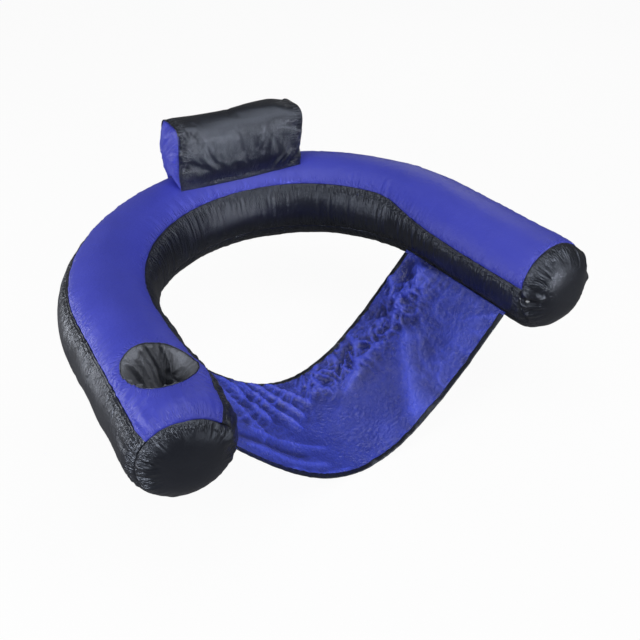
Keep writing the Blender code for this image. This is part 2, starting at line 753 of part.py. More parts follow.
def headrest(materials):
    frame = frame_empty("headrest_frame", headrest_turn)
    trim = tube_cutter()
    half = headrest_half_width
    rows = [headrest_loop(x, 0.0, draw_at(x), headrest_skirt_bottom) for x in headrest_places(half)]
    points = [p for row in rows for p in row]
    faces = grid_faces(len(rows), len(rows[0]))
    wrap = add_object("headrest_wrap_panel", points, faces, materials["black_fabric"], parent=frame)
    cut(add_wall(wrap, cover_thickness), trim)
    slot_height = zip_half_height + layer_gap
    slot_reach = headrest_zip_length / 2 + layer_gap
    zip_place = (headrest_zip_centre, headrest_back, zip_level)
    section = box_section(-band_height / 4, band_height / 4, -slot_height, slot_height)
    ends = [[(x, y, z) for y, z in section] for x in (-slot_reach, slot_reach)]
    slot = swept_bar("headrest_zip_slot", ends, None, parent=frame, smooth=False)
    slot.location = zip_place
    cut(wrap, slot)
    valve_place = (headrest_valve_place, headrest_back, zip_level)
    cut(wrap, cover_valve_cutter("headrest_valve_hole", frame, valve_place))

    for name, side in (("headrest_right_panel", -1), ("headrest_left_panel", 1)):
        outline = headrest_loop(side * half, 0.0, headrest_end_draw, headrest_skirt_bottom)
        middle = sum(outline, Vector()) / len(outline)
        rings = []
        for share, bulge in ((1.0, 0.0), (0.8, 0.7), (0.4, 0.95)):
            shift = Vector((side * (layer_gap + headrest_end_bulge * bulge), 0, 0))
            rings.append([middle + (p - middle) * share + shift for p in outline])
        points = [p for ring in rings for p in ring]
        points.append(middle + Vector((side * (layer_gap + headrest_end_bulge), 0, 0)))
        count = len(outline)
        faces = grid_faces(len(rings), count, closed_columns=True)
        last = (len(rings) - 1) * count
        faces += [(last + j, last + (j + 1) % count, len(points) - 1) for j in range(count)]
        if side > 0:
            faces = [tuple(reversed(face)) for face in faces]
        end = add_object(name, points, faces, materials["blue_fabric"], parent=frame)
        cut(add_wall(end, cover_thickness, offset=1.0), trim)

    inner = cover_thickness + layer_gap
    level = headrest_base_height
    base = []
    for x in headrest_places(half - layer_gap):
        front, back, _arch = headrest_arch(x, inner, 0.0)
        section = box_section(front, back, level, level + cover_thickness)
        base.append([Vector((x, y, z)) for y, z in section])
    swept_bar("headrest_base_panel", base, materials["black_fabric"], parent=frame)

    bottom = level + cover_thickness + layer_gap
    reach = half - bladder_inset
    rows = [headrest_loop(x, bladder_inset, draw_at(x), bottom) for x in headrest_places(reach)]
    count = len(rows[0])
    points = [p for row in rows for p in row]
    faces = grid_faces(len(rows), count, closed_columns=True)
    for row, side, start in ((rows[0], 1, 0), (rows[-1], -1, len(points) - count)):
        middle = sum(row, Vector()) / count + Vector((side * cover_thickness, 0, 0))
        points.append(middle)
        faces += [(start + j, start + (j + 1) % count, len(points) - 1) for j in range(count)]
    air = add_object("headrest_bladder", points, faces, materials["film"], parent=frame)
    add_wall(face_outwards(air), film_thickness)
    cut(air, film_valve_cutter("headrest_film_hole", frame, valve_place))
    valve("headrest", materials, frame, valve_place)

    tape, coil = zip_sections()
    tape_reach = headrest_zip_length / 2
    coil_reach = tape_reach - 2 * stop_length
    for name, section, reach, kind in (
        ("headrest_zip_upper_tape", tape, tape_reach, "tape"),
        ("headrest_zip_lower_tape", mirrored_down(tape), tape_reach, "tape"),
        ("headrest_zip_upper_coil", coil, coil_reach, "coil"),
        ("headrest_zip_lower_coil", mirrored_down(coil), coil_reach, "coil"),
    ):
        ends = [[(x, y, z) for y, z in section] for x in (-reach, reach)]
        swept_bar(name, ends, materials[kind], parent=frame, smooth=False).location = zip_place
    stop_height = slit_height / 2 + coil_height
    stop = box_section(layer_gap, layer_gap + stop_depth, -stop_height, stop_height)
    for name, side in (("headrest_zip_right_stop", -1), ("headrest_zip_left_stop", 1)):
        middle = side * (tape_reach - stop_length)
        ends = [[(middle + x, y, z) for y, z in stop] for x in (-stop_length / 2, stop_length / 2)]
        swept_bar(name, ends, materials["coil"], parent=frame, smooth=False).location = zip_place
    slider_place = (headrest_slider_rest, headrest_back, zip_level)
    slider("headrest_zip_slider", materials["metal"], frame, slider_place)
    tab_place = (headrest_slider_rest, headrest_back + tab_axis_height(), zip_level)
    pull_tab("headrest_zip_pull_tab", materials["metal"], frame, tab_place)


# Sling: hangs between the arms' lower inner seams


def fold_height(across, back):
    """The main folds, as low ridges across the sling."""
    height = 0.0
    for place, reach, turn, rise in zip(fold_place_shares, fold_reach_shares, fold_turns, fold_heights):
        x, y = across - place[0], back - place[1]
        along = (x * math.cos(turn) + y * math.sin(turn)) / reach[0]
        beside = (y * math.cos(turn) - x * math.sin(turn)) / reach[1]
        height += rise * math.exp(-along * along - beside * beside)
    return height


def sling_point(across, back):
    """A point of the sling: across runs from -1 at the right seam to 1 at the left, back from 0 to 1."""
    distance = sling_front + (sling_rear - sling_front) * back
    skew = sling_front_skew + (sling_rear_skew - sling_front_skew) * back
    right = tube_point(path_station(-1, distance + skew), inner_bottom_seam, -sling_seam_gap)
    left = tube_point(path_station(1, distance - skew), inner_bottom_seam, -sling_seam_gap)
    sag = sling_front_sag + (sling_rear_sag - sling_front_sag) * back
    fade = 1 - across * across
    drop = sag * math.cos(math.pi / 2 * (across + sling_low_shift_share * fade))
    return right.lerp(left, (across + 1) / 2) + Vector((0, 0, fold_height(across, back) * fade - drop))


def sling(materials):
    columns = [2 * j / sling_columns - 1 for j in range(sling_columns + 1)]
    rows = [i / sling_rows for i in range(sling_rows + 1)]
    points = [[sling_point(across, back) for across in columns] for back in rows]
    flat = [p for row in points for p in row]
    faces = grid_faces(len(rows), len(columns))
    panel_object = add_object("sling_panel", flat, faces, materials["blue_fabric"])
    add_wall(panel_object, sling_thickness, offset=0.0)

    def edge_frames(edge, inboard):
        frames = []
        for k, point in enumerate(edge):
            ahead = edge[min(k + 1, len(edge) - 1)] - edge[max(k - 1, 0)]
            inwards = (inboard[k] - point).normalized()
            normal = ahead.cross(inwards).normalized()
            frames.append((point, inwards, normal))
        return frames

    half_slot = sling_thickness / 2 + binding_gap
    half_band = half_slot + binding_wall
    lap = -binding_gap
    turn_back = lap - binding_wall
    channel = [
        (binding_width, half_band), (turn_back, half_band), (turn_back, -half_band), (binding_width, -half_band),
        (binding_width, -half_slot), (lap, -half_slot), (lap, half_slot), (binding_width, half_slot),
    ]
    for name, edge, inboard in (
        ("sling_front_binding", points[0], points[1]),
        ("sling_rear_binding", points[-1], points[-2]),
    ):
        frames = edge_frames(edge[1:-1], inboard[1:-1])
        stations = [
            [point + inwards * a + normal * b for a, b in channel] for point, inwards, normal in frames
        ]
        swept_bar(name, stations, materials["black_fabric"])

    hem_near = binding_gap * 3
    hem_high = sling_thickness / 2 + layer_gap
    strip = box_section(hem_near, hem_near + hem_width, hem_high, hem_high + hem_thickness)
    for name, first, second in (("sling_right_hem_tape", 0, 1), ("sling_left_hem_tape", -1, -2)):
        edge = [row[first] for row in points[1:-1]]
        inboard = [row[second] for row in points[1:-1]]
        stations = []
        for point, inwards, normal in edge_frames(edge, inboard):
            under = normal if normal.z < 0 else -normal
            stations.append([point + inwards * a + under * b for a, b in strip])
        swept_bar(name, stations, materials["black_fabric"])


def cover(materials):
    path = tube_path()
    top = panel("cover_top_panel", path, top_angles, materials["blue_fabric"])
    cut(top, cup_cutter("cup_hole", cup_hole_radius))
    panel("cover_inner_side_panel", path, inner_side_angles, materials["black_fabric"])
    outer = panel("cover_outer_side_panel", tube_path(fine_zone=True), outer_side_angles, materials["black_fabric"])
    cut(outer, main_zip_slot())
    panel("cover_bottom_panel", path, bottom_angles, materials["black_fabric"])
    end_cap("right_end_cap", -1, materials["black_fabric"])
    end_cap("left_end_cap", 1, materials["black_fabric"])
    well_cutter = cup_cutter("film_cup_hole", cup_hole_radius + film_thickness + 3 * layer_gap)
    cut(seam_tape("inner_top_seam_tape", inner_top_seam, materials["tape"]), well_cutter)
    seam_tape("outer_top_seam_tape", outer_top_seam, materials["tape"])
    seam_tape("inner_bottom_seam_tape", inner_bottom_seam, materials["tape"])
    seam_tape("outer_bottom_seam_tape", outer_bottom_seam, materials["tape"])
    cap_seam_tape("right_cap_seam_tape", -1, materials["tape"])
    cap_seam_tape("left_cap_seam_tape", 1, materials["tape"])
    bladder = air_tube("main_bladder", materials["film"])
    cut(bladder, well_cutter)
    valve_frame = frame_empty("main_valve_frame", main_valve_facet * arc_step)
    face = (0, zip_face_radius * math.cos(arc_step / 2), 0)
    cut(outer, cover_valve_cutter("main_valve_hole", valve_frame, face))
    cut(bladder, film_valve_cutter("main_film_hole", valve_frame, face))
    valve("main", materials, valve_frame, face)


clear_scene()
finishes = {
    "blue_fabric": finish_material("blue nylon", (0.072, 0.067, 0.46), 0.42),
    "black_fabric": finish_material("black nylon", (0.012, 0.013, 0.018), 0.45),
    "tape": finish_material("black woven tape", (0.016, 0.016, 0.018), 0.75),
    "coil": finish_material("black nylon coil", (0.02, 0.02, 0.022), 0.4),
    "metal": finish_material("black enamelled zinc", (0.03, 0.03, 0.033), 0.35, 0.6),
    "film": finish_material("clear grey vinyl film", (0.45, 0.47, 0.50), 0.3),
    "valve": finish_material("white vinyl moulding", (0.72, 0.73, 0.74), 0.35),
}
cover(finishes)
main_zip(finishes)
cup_holder(finishes)
headrest(finishes)
sling(finishes)
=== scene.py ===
import math

import bpy
import numpy as np
from mathutils import Matrix, Vector


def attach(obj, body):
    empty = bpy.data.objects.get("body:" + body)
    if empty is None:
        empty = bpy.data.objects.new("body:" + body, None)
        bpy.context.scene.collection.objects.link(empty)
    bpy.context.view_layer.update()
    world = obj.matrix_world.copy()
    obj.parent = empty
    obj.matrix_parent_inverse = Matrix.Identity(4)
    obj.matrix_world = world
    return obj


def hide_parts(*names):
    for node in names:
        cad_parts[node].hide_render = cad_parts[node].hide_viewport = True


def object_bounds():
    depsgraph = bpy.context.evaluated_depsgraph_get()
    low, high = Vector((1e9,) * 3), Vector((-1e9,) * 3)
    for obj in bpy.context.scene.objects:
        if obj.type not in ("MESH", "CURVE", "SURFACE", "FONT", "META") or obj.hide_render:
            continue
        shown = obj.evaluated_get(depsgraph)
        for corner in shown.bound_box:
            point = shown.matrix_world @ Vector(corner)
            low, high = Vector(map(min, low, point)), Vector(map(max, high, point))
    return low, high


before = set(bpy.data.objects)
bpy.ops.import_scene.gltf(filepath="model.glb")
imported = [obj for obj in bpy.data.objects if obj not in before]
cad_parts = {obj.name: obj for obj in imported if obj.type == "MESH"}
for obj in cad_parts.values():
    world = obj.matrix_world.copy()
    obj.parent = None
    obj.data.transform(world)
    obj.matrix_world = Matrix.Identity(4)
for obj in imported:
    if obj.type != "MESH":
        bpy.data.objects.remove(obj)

cad_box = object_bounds()
scene = bpy.context.scene

# Camera: a long look down on the open front of the chair from over the right arm, slightly rolled,
# as the chair was photographed.
view_turn = -0.5541
view_height = 0.6431
view_roll = -0.0264
view_target = Vector((-0.0392, -0.1274, 0.0))
view_distance = 1.4749
view_focal_share = 804.48 / 640

camera_data = bpy.data.cameras.new("camera")
camera_data.sensor_width = 36
camera_data.lens = view_focal_share * camera_data.sensor_width
camera_data.clip_start = 0.05
camera = bpy.data.objects.new("camera", camera_data)
scene.collection.objects.link(camera)
flat_share = math.cos(view_height)
backward = Vector((math.sin(view_turn) * flat_share, -math.cos(view_turn) * flat_share, math.sin(view_height)))
level = Vector((math.cos(view_turn), math.sin(view_turn), 0))
upward = backward.cross(level)
rolled_level = level * math.cos(view_roll) + upward * math.sin(view_roll)
rolled_up = upward * math.cos(view_roll) - level * math.sin(view_roll)
camera_turn = Matrix((rolled_level, rolled_up, backward)).transposed().to_4x4()
camera.matrix_world = Matrix.Translation(view_target + backward * view_distance) @ camera_turn
scene.camera = camera
scene.view_settings.view_transform = "Standard"

# Studio: a pale floor just under the hanging sling, two broad lamps overhead and high in front, low soft lamps in
# front, behind and beside the right arm, a narrow one aimed at the headrest, and an even pale room.
floor_size = 14.0
floor_gap = 0.002
floor_seen_colour = (0.85, 0.85, 0.86, 1)
floor_bounce_colour = (0.22, 0.22, 0.23, 1)
floor_white_share = 0.95
room_colour = (1.0, 1.0, 1.0, 1)
room_level = 0.13


def set_inputs(node, inputs):
    """Gives a node's inputs their values, or joins them to other nodes' outputs."""
    for title, value in inputs.items():
        if isinstance(value, bpy.types.NodeSocket):
            node.id_data.links.new(value, node.inputs[title])
        else:
            node.inputs[title].default_value = value


def add_node(tree, kind, inputs=(), **settings):
    """Adds a node of a kind to a tree, with its settings and inputs."""
    node = tree.nodes.new(kind)
    for title, value in settings.items():
        setattr(node, title, value)
    set_inputs(node, dict(inputs))
    return node


half = floor_size / 2
floor_height = cad_box[0][2] - floor_gap
floor_corners = [(x, y, floor_height) for x, y in ((-half, -half), (half, -half), (half, half), (-half, half))]
floor_mesh = bpy.data.meshes.new("studio_floor")
floor_mesh.from_pydata(floor_corners, [], [(0, 1, 2, 3)])
studio_floor = bpy.data.objects.new("studio_floor", floor_mesh)
scene.collection.objects.link(studio_floor)
floor_finish = bpy.data.materials.new("pale studio floor")
floor_finish.use_nodes = True
floor_tree = floor_finish.node_tree
floor_tree.nodes.clear()
floor_ray = add_node(floor_tree, "ShaderNodeLightPath").outputs
floor_tones = {"Factor": floor_ray["Is Camera Ray"], "A": floor_bounce_colour, "B": floor_seen_colour}
floor_colour = add_node(floor_tree, "ShaderNodeMix", floor_tones, data_type="RGBA")
floor_matt = add_node(floor_tree, "ShaderNodeBsdfDiffuse", {"Color": floor_colour.outputs["Result"]})
floor_glow = add_node(floor_tree, "ShaderNodeEmission", {"Strength": 1.0})
floor_rays = {0: floor_ray["Is Camera Ray"], 1: floor_ray["Is Transmission Ray"]}
floor_seen = add_node(floor_tree, "ShaderNodeMath", floor_rays, operation="MAXIMUM")
floor_shares = {0: floor_seen.outputs[0], 1: floor_white_share}
floor_share = add_node(floor_tree, "ShaderNodeMath", floor_shares, operation="MULTIPLY")
floor_shades = {0: floor_share.outputs[0], 1: floor_matt.outputs[0], 2: floor_glow.outputs[0]}
floor_mix = add_node(floor_tree, "ShaderNodeMixShader", floor_shades)
add_node(floor_tree, "ShaderNodeOutputMaterial", {"Surface": floor_mix.outputs[0]})
floor_mesh.materials.append(floor_finish)

room = bpy.data.worlds.new("pale room")
scene.world = room
room.use_nodes = True
room_ray = add_node(room.node_tree, "ShaderNodeLightPath").outputs["Is Camera Ray"]
room_levels = {"Value": room_ray, "To Min": room_level, "To Max": 1.0}
room_strength = add_node(room.node_tree, "ShaderNodeMapRange", room_levels).outputs["Result"]
set_inputs(room.node_tree.nodes["Background"], {"Color": room_colour, "Strength": room_strength})


def soft_lamp(name, place, target, size, power, spread=180):
    lamp_data = bpy.data.lights.new(name, "AREA")
    lamp_data.shape = "DISK"
    lamp_data.size = size
    lamp_data.energy = power
    lamp_data.spread = math.radians(spread)
    lamp = bpy.data.objects.new(name, lamp_data)
    lamp.location = place
    lamp.rotation_euler = (Vector(target) - Vector(place)).to_track_quat("-Z", "Y").to_euler()
    scene.collection.objects.link(lamp)


soft_lamp("top_lamp", (-0.25, -0.2, 2.5), (0, 0, 0), 1.6, 18)
soft_lamp("high_front_lamp", (0.9, -1.5, 2.0), (0, 0, 0), 1.2, 20)
soft_lamp("front_lamp", (1.3, -2.3, 0.50), (0, 0, 0), 1.4, 9)
soft_lamp("headrest_lamp", (0.8, -2.35, 0.12), (0.0, 0.32, 0.17), 0.4, 0.165, 10)
soft_lamp("back_lamp", (-2.1, 1.7, 0.30), (0, 0, 0), 1.0, 22)
soft_lamp("right_back_lamp", (1.9, 1.6, 0.80), (0, 0, 0), 0.8, 3)
soft_lamp("side_lamp", (-2.4, -0.7, 0.45), (0, 0, 0), 0.9, 28)


# Cover, top panel: blue nylon taffeta, cut to the horseshoe and sewn to the black sides, which pull it into
# small puckers along both seams, at the arm ends and round the cup hole. The bladder inside keeps it round.
tube_radius = 0.0925
arc_radius = 0.370
arm_length = 0.289
arm_splay = math.radians(3.1)
end_bulge = 0.0625
end_roundness = 0.8
cap_seam_turn = math.radians(28)
cloth_thickness = 0.0009
inner_seam_places = (
    -0.90, -0.86, -0.82, -0.77, -0.71, -0.65, -0.58, -0.50, -0.40, -0.30,
    -0.14, 0.20, 0.42, 0.46, 0.50, 0.54, 0.60, 0.70, 0.90,
)
inner_seam_turns = (
    -50, -52, -54, -61, -58, -51, -53, -56, -54.5, -52,
    -50.5, -50, -51.5, -54.5, -61, -66, -70, -72.5, -72.5,
)
outer_seam_turn = math.radians(45)
bottom_seam_turn = math.radians(118)
cup_along_arm = 0.198
cup_inward = 0.0165
cup_radius, hole_mean_reach = 0.0595, 0.0582
pocket_push_height, pocket_push_place, pocket_push_turn = 0.0085, -0.785, -63
pocket_push_length, pocket_push_half_turn = 0.055, 17
zip_flat = tube_radius * math.cos(math.radians(8.705))
zip_half_reach = 0.155
valve_place = 5.5 * 2 * (math.pi / 2 - arm_splay) / 18 * arc_radius
blue = (0.066, 0.080, 0.600, 1)
deep_blue = (0.050, 0.062, 0.500, 1)

arc_half_turn = math.pi / 2 - arm_splay
arc_half_length = arc_radius * arc_half_turn
arm_end = arc_half_length + arm_length
cap_seam_place = arm_end + end_bulge * math.sin(cap_seam_turn)


def waver(x, seed):
    """Smooth uneven values from -1 to 1 along a line, about one rise or fall per unit."""
    table = np.random.RandomState(seed).uniform(-1, 1, 2048)
    step = np.floor(x).astype(int)
    part = x - step
    part = part * part * (3 - 2 * part)
    return table[step % 2048] * (1 - part) + table[(step + 1) % 2048] * part


def ripple(x, y, seed):
    """Smooth uneven values from -1 to 1 over a surface."""
    table = np.random.RandomState(seed).uniform(-1, 1, (256, 256))
    i, j = np.floor(x).astype(int), np.floor(y).astype(int)
    u, v = x - i, y - j
    u, v = u * u * (3 - 2 * u), v * v * (3 - 2 * v)
    i, j = i % 256, j % 256
    k, m = (i + 1) % 256, (j + 1) % 256
    low = table[i, j] * (1 - u) + table[k, j] * u
    high = table[i, m] * (1 - u) + table[k, m] * u
    return low * (1 - v) + high * v


def creases(x, y, seed, layers):
    """Sharp crossing folds, as in cloth that has been crumpled: 0 on the flats and 1 on the fold lines."""
    total = np.zeros(np.broadcast(x, y).shape)
    weight, size = 1.0, 1.0
    for layer in range(layers):
        bend = ripple(x * size * 0.5, y * size * 0.5, seed + 31 + layer)
        fold = 1 - np.abs(ripple(x * size + bend, y * size - bend, seed + layer)) * 1.6
        total += weight * np.clip(fold, 0, 1) ** 1.3
        weight *= 0.5
        size *= 1.9
    return total / 1.75


def fade(x, low, high):
    """0 below low, 1 above high, smooth between."""
    part = np.clip((x - low) / (high - low), 0, 1)
    return part * part * (3 - 2 * part)


def tube_frame(s):
    """Centre, outward direction and share of the radius at a distance s along the tube from the back's middle."""
    turn = np.clip(s / arc_radius, -arc_half_turn, arc_half_turn)
    side = np.sign(s)
    along = np.clip(np.abs(s) - arc_half_length, 0, None)
    past = np.clip((np.abs(s) - arm_end) / end_bulge, 0, 1)
    outward = np.stack([np.sin(turn), np.cos(turn), np.zeros_like(turn)], -1)
    arm = np.stack([side * math.sin(arm_splay), -math.cos(arm_splay) * np.ones_like(s), np.zeros_like(s)], -1)
    centre = outward * arc_radius + arm * along[..., None]
    return centre, outward, (1 - past**2) ** (end_roundness / 2)


def sewn_place(s, turn):
    """Where cloth cut for a place s lies along the tube: the end seams weren't sewn square to the arms."""
    degrees = (np.degrees(turn) + 180) % 360 - 180
    right_turns, right_slips = (-118, -90, -50, 0, 25, 60, 90), (0, 0.006, 0.0115, 0.009, 0.0042, 0.001, 0)
    left_turns = (-118, -95, -60, -40, 10, 40, 90, 118)
    left_slips = (0, -0.008, -0.016, -0.018, -0.018, -0.014, -0.006, 0)
    slip = np.where(s < 0, -np.interp(degrees, right_turns, right_slips), np.interp(degrees, left_turns, left_slips))
    reach = np.abs(s)
    near_seam = fade(reach, cap_seam_place - 0.052, cap_seam_place)
    return s + slip * near_seam * (1 - fade(reach, cap_seam_place, arm_end + end_bulge))


def full_turn(steps):
    """Even turns all the way round."""
    return np.linspace(0, 2 * math.pi, steps, endpoint=False)


def grid_of(rows, columns):
    """Every row's value with every column's."""
    return np.meshgrid(rows, columns, indexing="ij")


def pocket_push(s, turn):
    """Lift of the cover where the cup pocket presses on it from inside, low on the right arm's inner side."""
    along, round_it = (s - pocket_push_place) / pocket_push_length, np.degrees(turn) - pocket_push_turn
    return pocket_push_height * np.exp(-(along**2) - (round_it / pocket_push_half_turn) ** 2)


def upright(height):
    """Points straight above the origin."""
    return np.stack([np.zeros_like(height), np.zeros_like(height), height], -1)


def tube_points(s, turn, lift):
    """Points of the cover: s along the tube, turn about it from the top, lift off its round surface."""
    lift = lift + pocket_push(s, turn)
    s = sewn_place(s, turn)
    centre, outward, share = tube_frame(s)
    flat = np.maximum(
        fade(-np.abs(s), -zip_half_reach - 0.045, -zip_half_reach - 0.015),
        fade(-np.abs(s - valve_place), -0.040, -0.018),
    )
    sine = np.clip(np.sin(turn), 1e-6, 1)
    squared = np.minimum(tube_radius, zip_flat / sine)
    radius = (tube_radius + (squared - tube_radius) * flat) * share + lift
    return centre + outward * (radius * np.sin(turn))[..., None] + upright(radius * np.cos(turn))


def inner_seam(s):
    return np.radians(np.interp(s, inner_seam_places, inner_seam_turns))


cup_centre, cup_out, _share = tube_frame(np.array(-(arc_half_length + cup_along_arm)))
cup_centre = cup_centre - cup_out * cup_inward


def seam_height(s, seed):
    """How a seam line lies: pulled in, and slightly uneven."""
    return -0.0017 + 0.0006 * waver(s / 0.011, seed) + 0.0003 * waver(s / 0.005, seed + 1)


def seam_puckers(s, gap, seed, reach, height, pitch):
    """Short folds square to a seam at a distance gap from it, each of its own length and height."""
    length = reach * (1 + 0.6 * waver(s / (2.3 * pitch), seed))
    shape = gap / length * np.exp(1 - gap / length)
    folds = waver(s / pitch + 0.35 * waver(gap / 0.012, seed + 2), seed + 1)
    folds = folds + 0.7 - 1.4 * np.abs(waver(s / (0.8 * pitch), seed + 4))
    return height * shape * folds * (0.65 + 0.35 * waver(s / 0.09, seed + 3))


def pull_in(gap, depth=0.020):
    """Share of the seam's height that the cloth still has at a distance gap from it."""
    return np.exp(-gap / depth * 2.2) + 0.7 * np.exp(-gap / 0.0016)


def hole_reach(turns):
    """The cup hole's edge in plan: a round hole that the air has pulled out of true."""
    sway = -0.0040 * np.cos(turns) - 0.0029 * np.sin(turns) + 0.0014 * np.cos(2 * turns) - 0.0013 * np.sin(2 * turns)
    sway -= 0.0025 * np.exp(-(((turns + 0.15) / 0.5) ** 2))
    return hole_mean_reach + sway + 0.0031 * np.cos(3 * turns) + 0.0026 * np.sin(3 * turns)


def round_cup(reach, turns, height):
    """Points at a reach and a turn about the middle of the cup hole."""
    x, y = cup_centre[0] + reach * np.cos(turns), cup_centre[1] + reach * np.sin(turns)
    return np.stack([x, y, np.broadcast_to(height, x.shape)], -1)


def round_the_cup(points):
    """Distance from the cup hole's edge in plan, and turn about the hole, on the right arm only."""
    x, y = points[..., 0] - cup_centre[0], points[..., 1] - cup_centre[1]
    turns = np.arctan2(y, x)
    reach = np.hypot(x, y) - hole_reach(turns)
    return np.where(points[..., 0] < 0, np.abs(reach), 1.0), turns


def end_puckers(s, turn, end_gap, first_gap, second_gap, seed, reach, height, pitch):
    """Folds square to an arm's end seam, where the panel is drawn in to meet the end cap."""
    clear = fade(first_gap, 0, 0.010) * fade(second_gap, 0, 0.010)
    lift = seam_puckers(turn * tube_radius + np.sign(s) * 3.0, end_gap, seed, reach, height, pitch) * clear
    return lift - 0.0018 * pull_in(end_gap, 0.028) * (1 - pull_in(first_gap)) * (1 - pull_in(second_gap))


def seams_lift(s, turn, first, second, end_folds):
    """How a panel is drawn in along its two long seams and at the arms' ends. Each long seam is given as the gap
    from it, the seed of its own line and the seed, reach, height and pitch of its puckers."""
    end_gap = cap_seam_place - np.abs(s)
    lift = end_puckers(s, turn, end_gap, first[0], second[0], *end_folds)
    for seam_gap, seed, puckers in (first, second):
        lift += seam_height(s, seed) * pull_in(seam_gap)
        lift += seam_puckers(s, seam_gap, *puckers) * fade(end_gap, 0.0, 0.012)
    return lift


def clear_of_seams(s, first_gap, second_gap, start=0.001, reach=0.020, other_reach=0.020):
    """1 over the middle of a panel, falling to 0 at its seams and its ends."""
    sides = fade(first_gap, start, reach) * fade(second_gap, start, other_reach)
    return sides * fade(cap_seam_place - np.abs(s), 0.0, 0.03)


def top_lift(s, turn):
    inner_gap = (turn - inner_seam(s)) * tube_radius
    outer_gap = (outer_seam_turn - turn) * tube_radius
    inner, outer = (inner_gap, 3, (11, 0.007, 0.0013, 0.0072)), (outer_gap, 7, (17, 0.009, 0.0013, 0.0085))
    lift = seams_lift(s, turn, inner, outer, (23, 0.011, 0.0019, 0.0085))
    spread = clear_of_seams(s, inner_gap, outer_gap, 0.002, 0.03, 0.03)
    lift += 0.0009 * spread * ripple(s / 0.055, turn / 0.42, 29)
    lift += 0.0004 * spread * creases(s / 0.040, turn / 0.55, 37, 2)
    cup_gap, cup_turn = round_the_cup(tube_points(s, turn, np.zeros_like(s)))
    round_hole = cup_turn * cup_radius
    lift += (-0.0014 + 0.0004 * waver(round_hole / 0.006, 45)) * np.exp(-cup_gap / 0.008)
    lift += seam_puckers(round_hole, cup_gap, 41, 0.008, 0.0010, 0.0085)
    across = fade(-outer_gap, -0.080, -0.008) * np.exp(-cup_gap / 0.034) * fade(turn, 0.05, 0.40)
    lift += 0.0025 * across * waver((s + 0.035 * turn) / 0.0092, 53)
    return lift


def sewn_object(name, points, faces, cloth=None, seams=None, edge=None, folds=None):
    """One piece of the object. Its maps are in metres: the cloth itself, the distances from its two long seams,
    and the distance from its third edge with the place along that edge. The folds map runs from 0 in the creases
    to 1 on the ridges."""
    faces = faces.tolist() if isinstance(faces, np.ndarray) else faces
    mesh = bpy.data.meshes.new(name)
    mesh.from_pydata(np.reshape(points, (-1, 3)).tolist(), [], faces)
    corner = np.empty(len(mesh.loops), np.int32)
    mesh.loops.foreach_get("vertex_index", corner)
    for title, values in (("cloth", cloth), ("seams", seams), ("edge", edge), ("folds", folds)):
        if values is not None:
            values = np.asarray(values).reshape(-1, 2)[corner].astype(np.float32)
            mesh.uv_layers.new(name=title).data.foreach_set("uv", values.ravel())
    mesh.shade_smooth()
    piece = bpy.data.objects.new(name, mesh)
    scene.collection.objects.link(piece)
    return piece


def grid_quads(rows, columns, ring=False, loop=False):
    """Faces of a grid of points. A ring closes on itself across its columns, a loop along its rows."""
    i, j = grid_of(np.arange(rows if loop else rows - 1), np.arange(columns if ring else columns - 1))
    j_next, here, ahead = (j + 1) % columns, i * columns, (i + 1) % rows * columns
    return np.stack([here + j, here + j_next, ahead + j_next, ahead + j], -1).reshape(-1, 4)


def flipped(faces):
    """The same faces, seen from their other side."""
    return [face[::-1] for face in faces]


def close_ring(start, count, tip):
    """Triangles that close a ring of points to one point."""
    return [[start + k, start + (k + 1) % count, tip] for k in range(count)]


def closed_cap(rings, tip=None):
    """Points and faces of rings whose last one closes to a tip, or to its own middle."""
    rows, count = rings.shape[:2]
    tip = rings[-1].mean(0) if tip is None else tip
    faces = grid_quads(rows, count, ring=True).tolist() + close_ring((rows - 1) * count, count, rows * count)
    return np.concatenate([rings.reshape(-1, 3), [tip]]), faces


def closed_tube(rings):
    """Points and faces of a tube of rings, each end closed to its middle."""
    points, faces = closed_cap(rings)
    return np.concatenate([points, [rings[0].mean(0)]]), faces + flipped(close_ring(0, rings.shape[1], len(points)))


def cut_tube(rows, count):
    """Faces of a tube of rings with a flat face on each end."""
    faces = grid_quads(rows, count, ring=True).tolist()
    return faces + [list(range(count))[::-1], list(range((rows - 1) * count, rows * count))]


def set_modifiers(piece):
    """Works a piece's modifiers into its mesh."""
    graph = bpy.context.evaluated_depsgraph_get()
    mesh = bpy.data.meshes.new_from_object(piece.evaluated_get(graph), preserve_all_data_layers=True, depsgraph=graph)
    piece.modifiers.clear()
    old = piece.data
    piece.data = mesh
    bpy.data.meshes.remove(old)
    return piece


def give_thickness(piece, thickness=cloth_thickness, offset=-1):
    """Turns a sheet into a closed wall."""
    wall = piece.modifiers.new("thickness", "SOLIDIFY")
    wall.thickness = thickness
    wall.offset = offset
    return set_modifiers(piece)


def seam_at(turn):
    """A seam that keeps to one turn about the tube."""
    return lambda s: np.full_like(s, turn)


def cover_panel(name, places, low, high, columns, lift):
    """A panel of the cover between two seams, given as turns about the tube at each place along it. Its rows of
    points stand closer together beside the seams."""
    s, part = grid_of(places, np.linspace(0, 1, columns))
    part = part - 0.72 * np.sin(2 * math.pi * part) / (2 * math.pi)
    turn = low(s) + (high(s) - low(s)) * part
    points = tube_points(s, turn, lift(s, turn))
    cloth = np.stack([s, turn * tube_radius], -1)
    seams = np.stack([turn - low(s), high(s) - turn], -1) * tube_radius
    edge = np.stack([cap_seam_place - np.abs(s), turn * tube_radius], -1)
    if lift is top_lift:
        cup_gap, cup_turn = round_the_cup(points)
        edge = np.where((cup_gap < edge[..., 0])[..., None], np.stack([cup_gap, cup_turn * cup_radius], -1), edge)
    return give_thickness(sewn_object(name, points, grid_quads(len(places), columns), cloth, seams, edge))


def add_sockets(group, in_out, kind, *titles):
    """Gives a group its named inputs or outputs of a kind."""
    for title in titles:
        group.interface.new_socket(title, in_out=in_out, socket_type="NodeSocket" + kind)


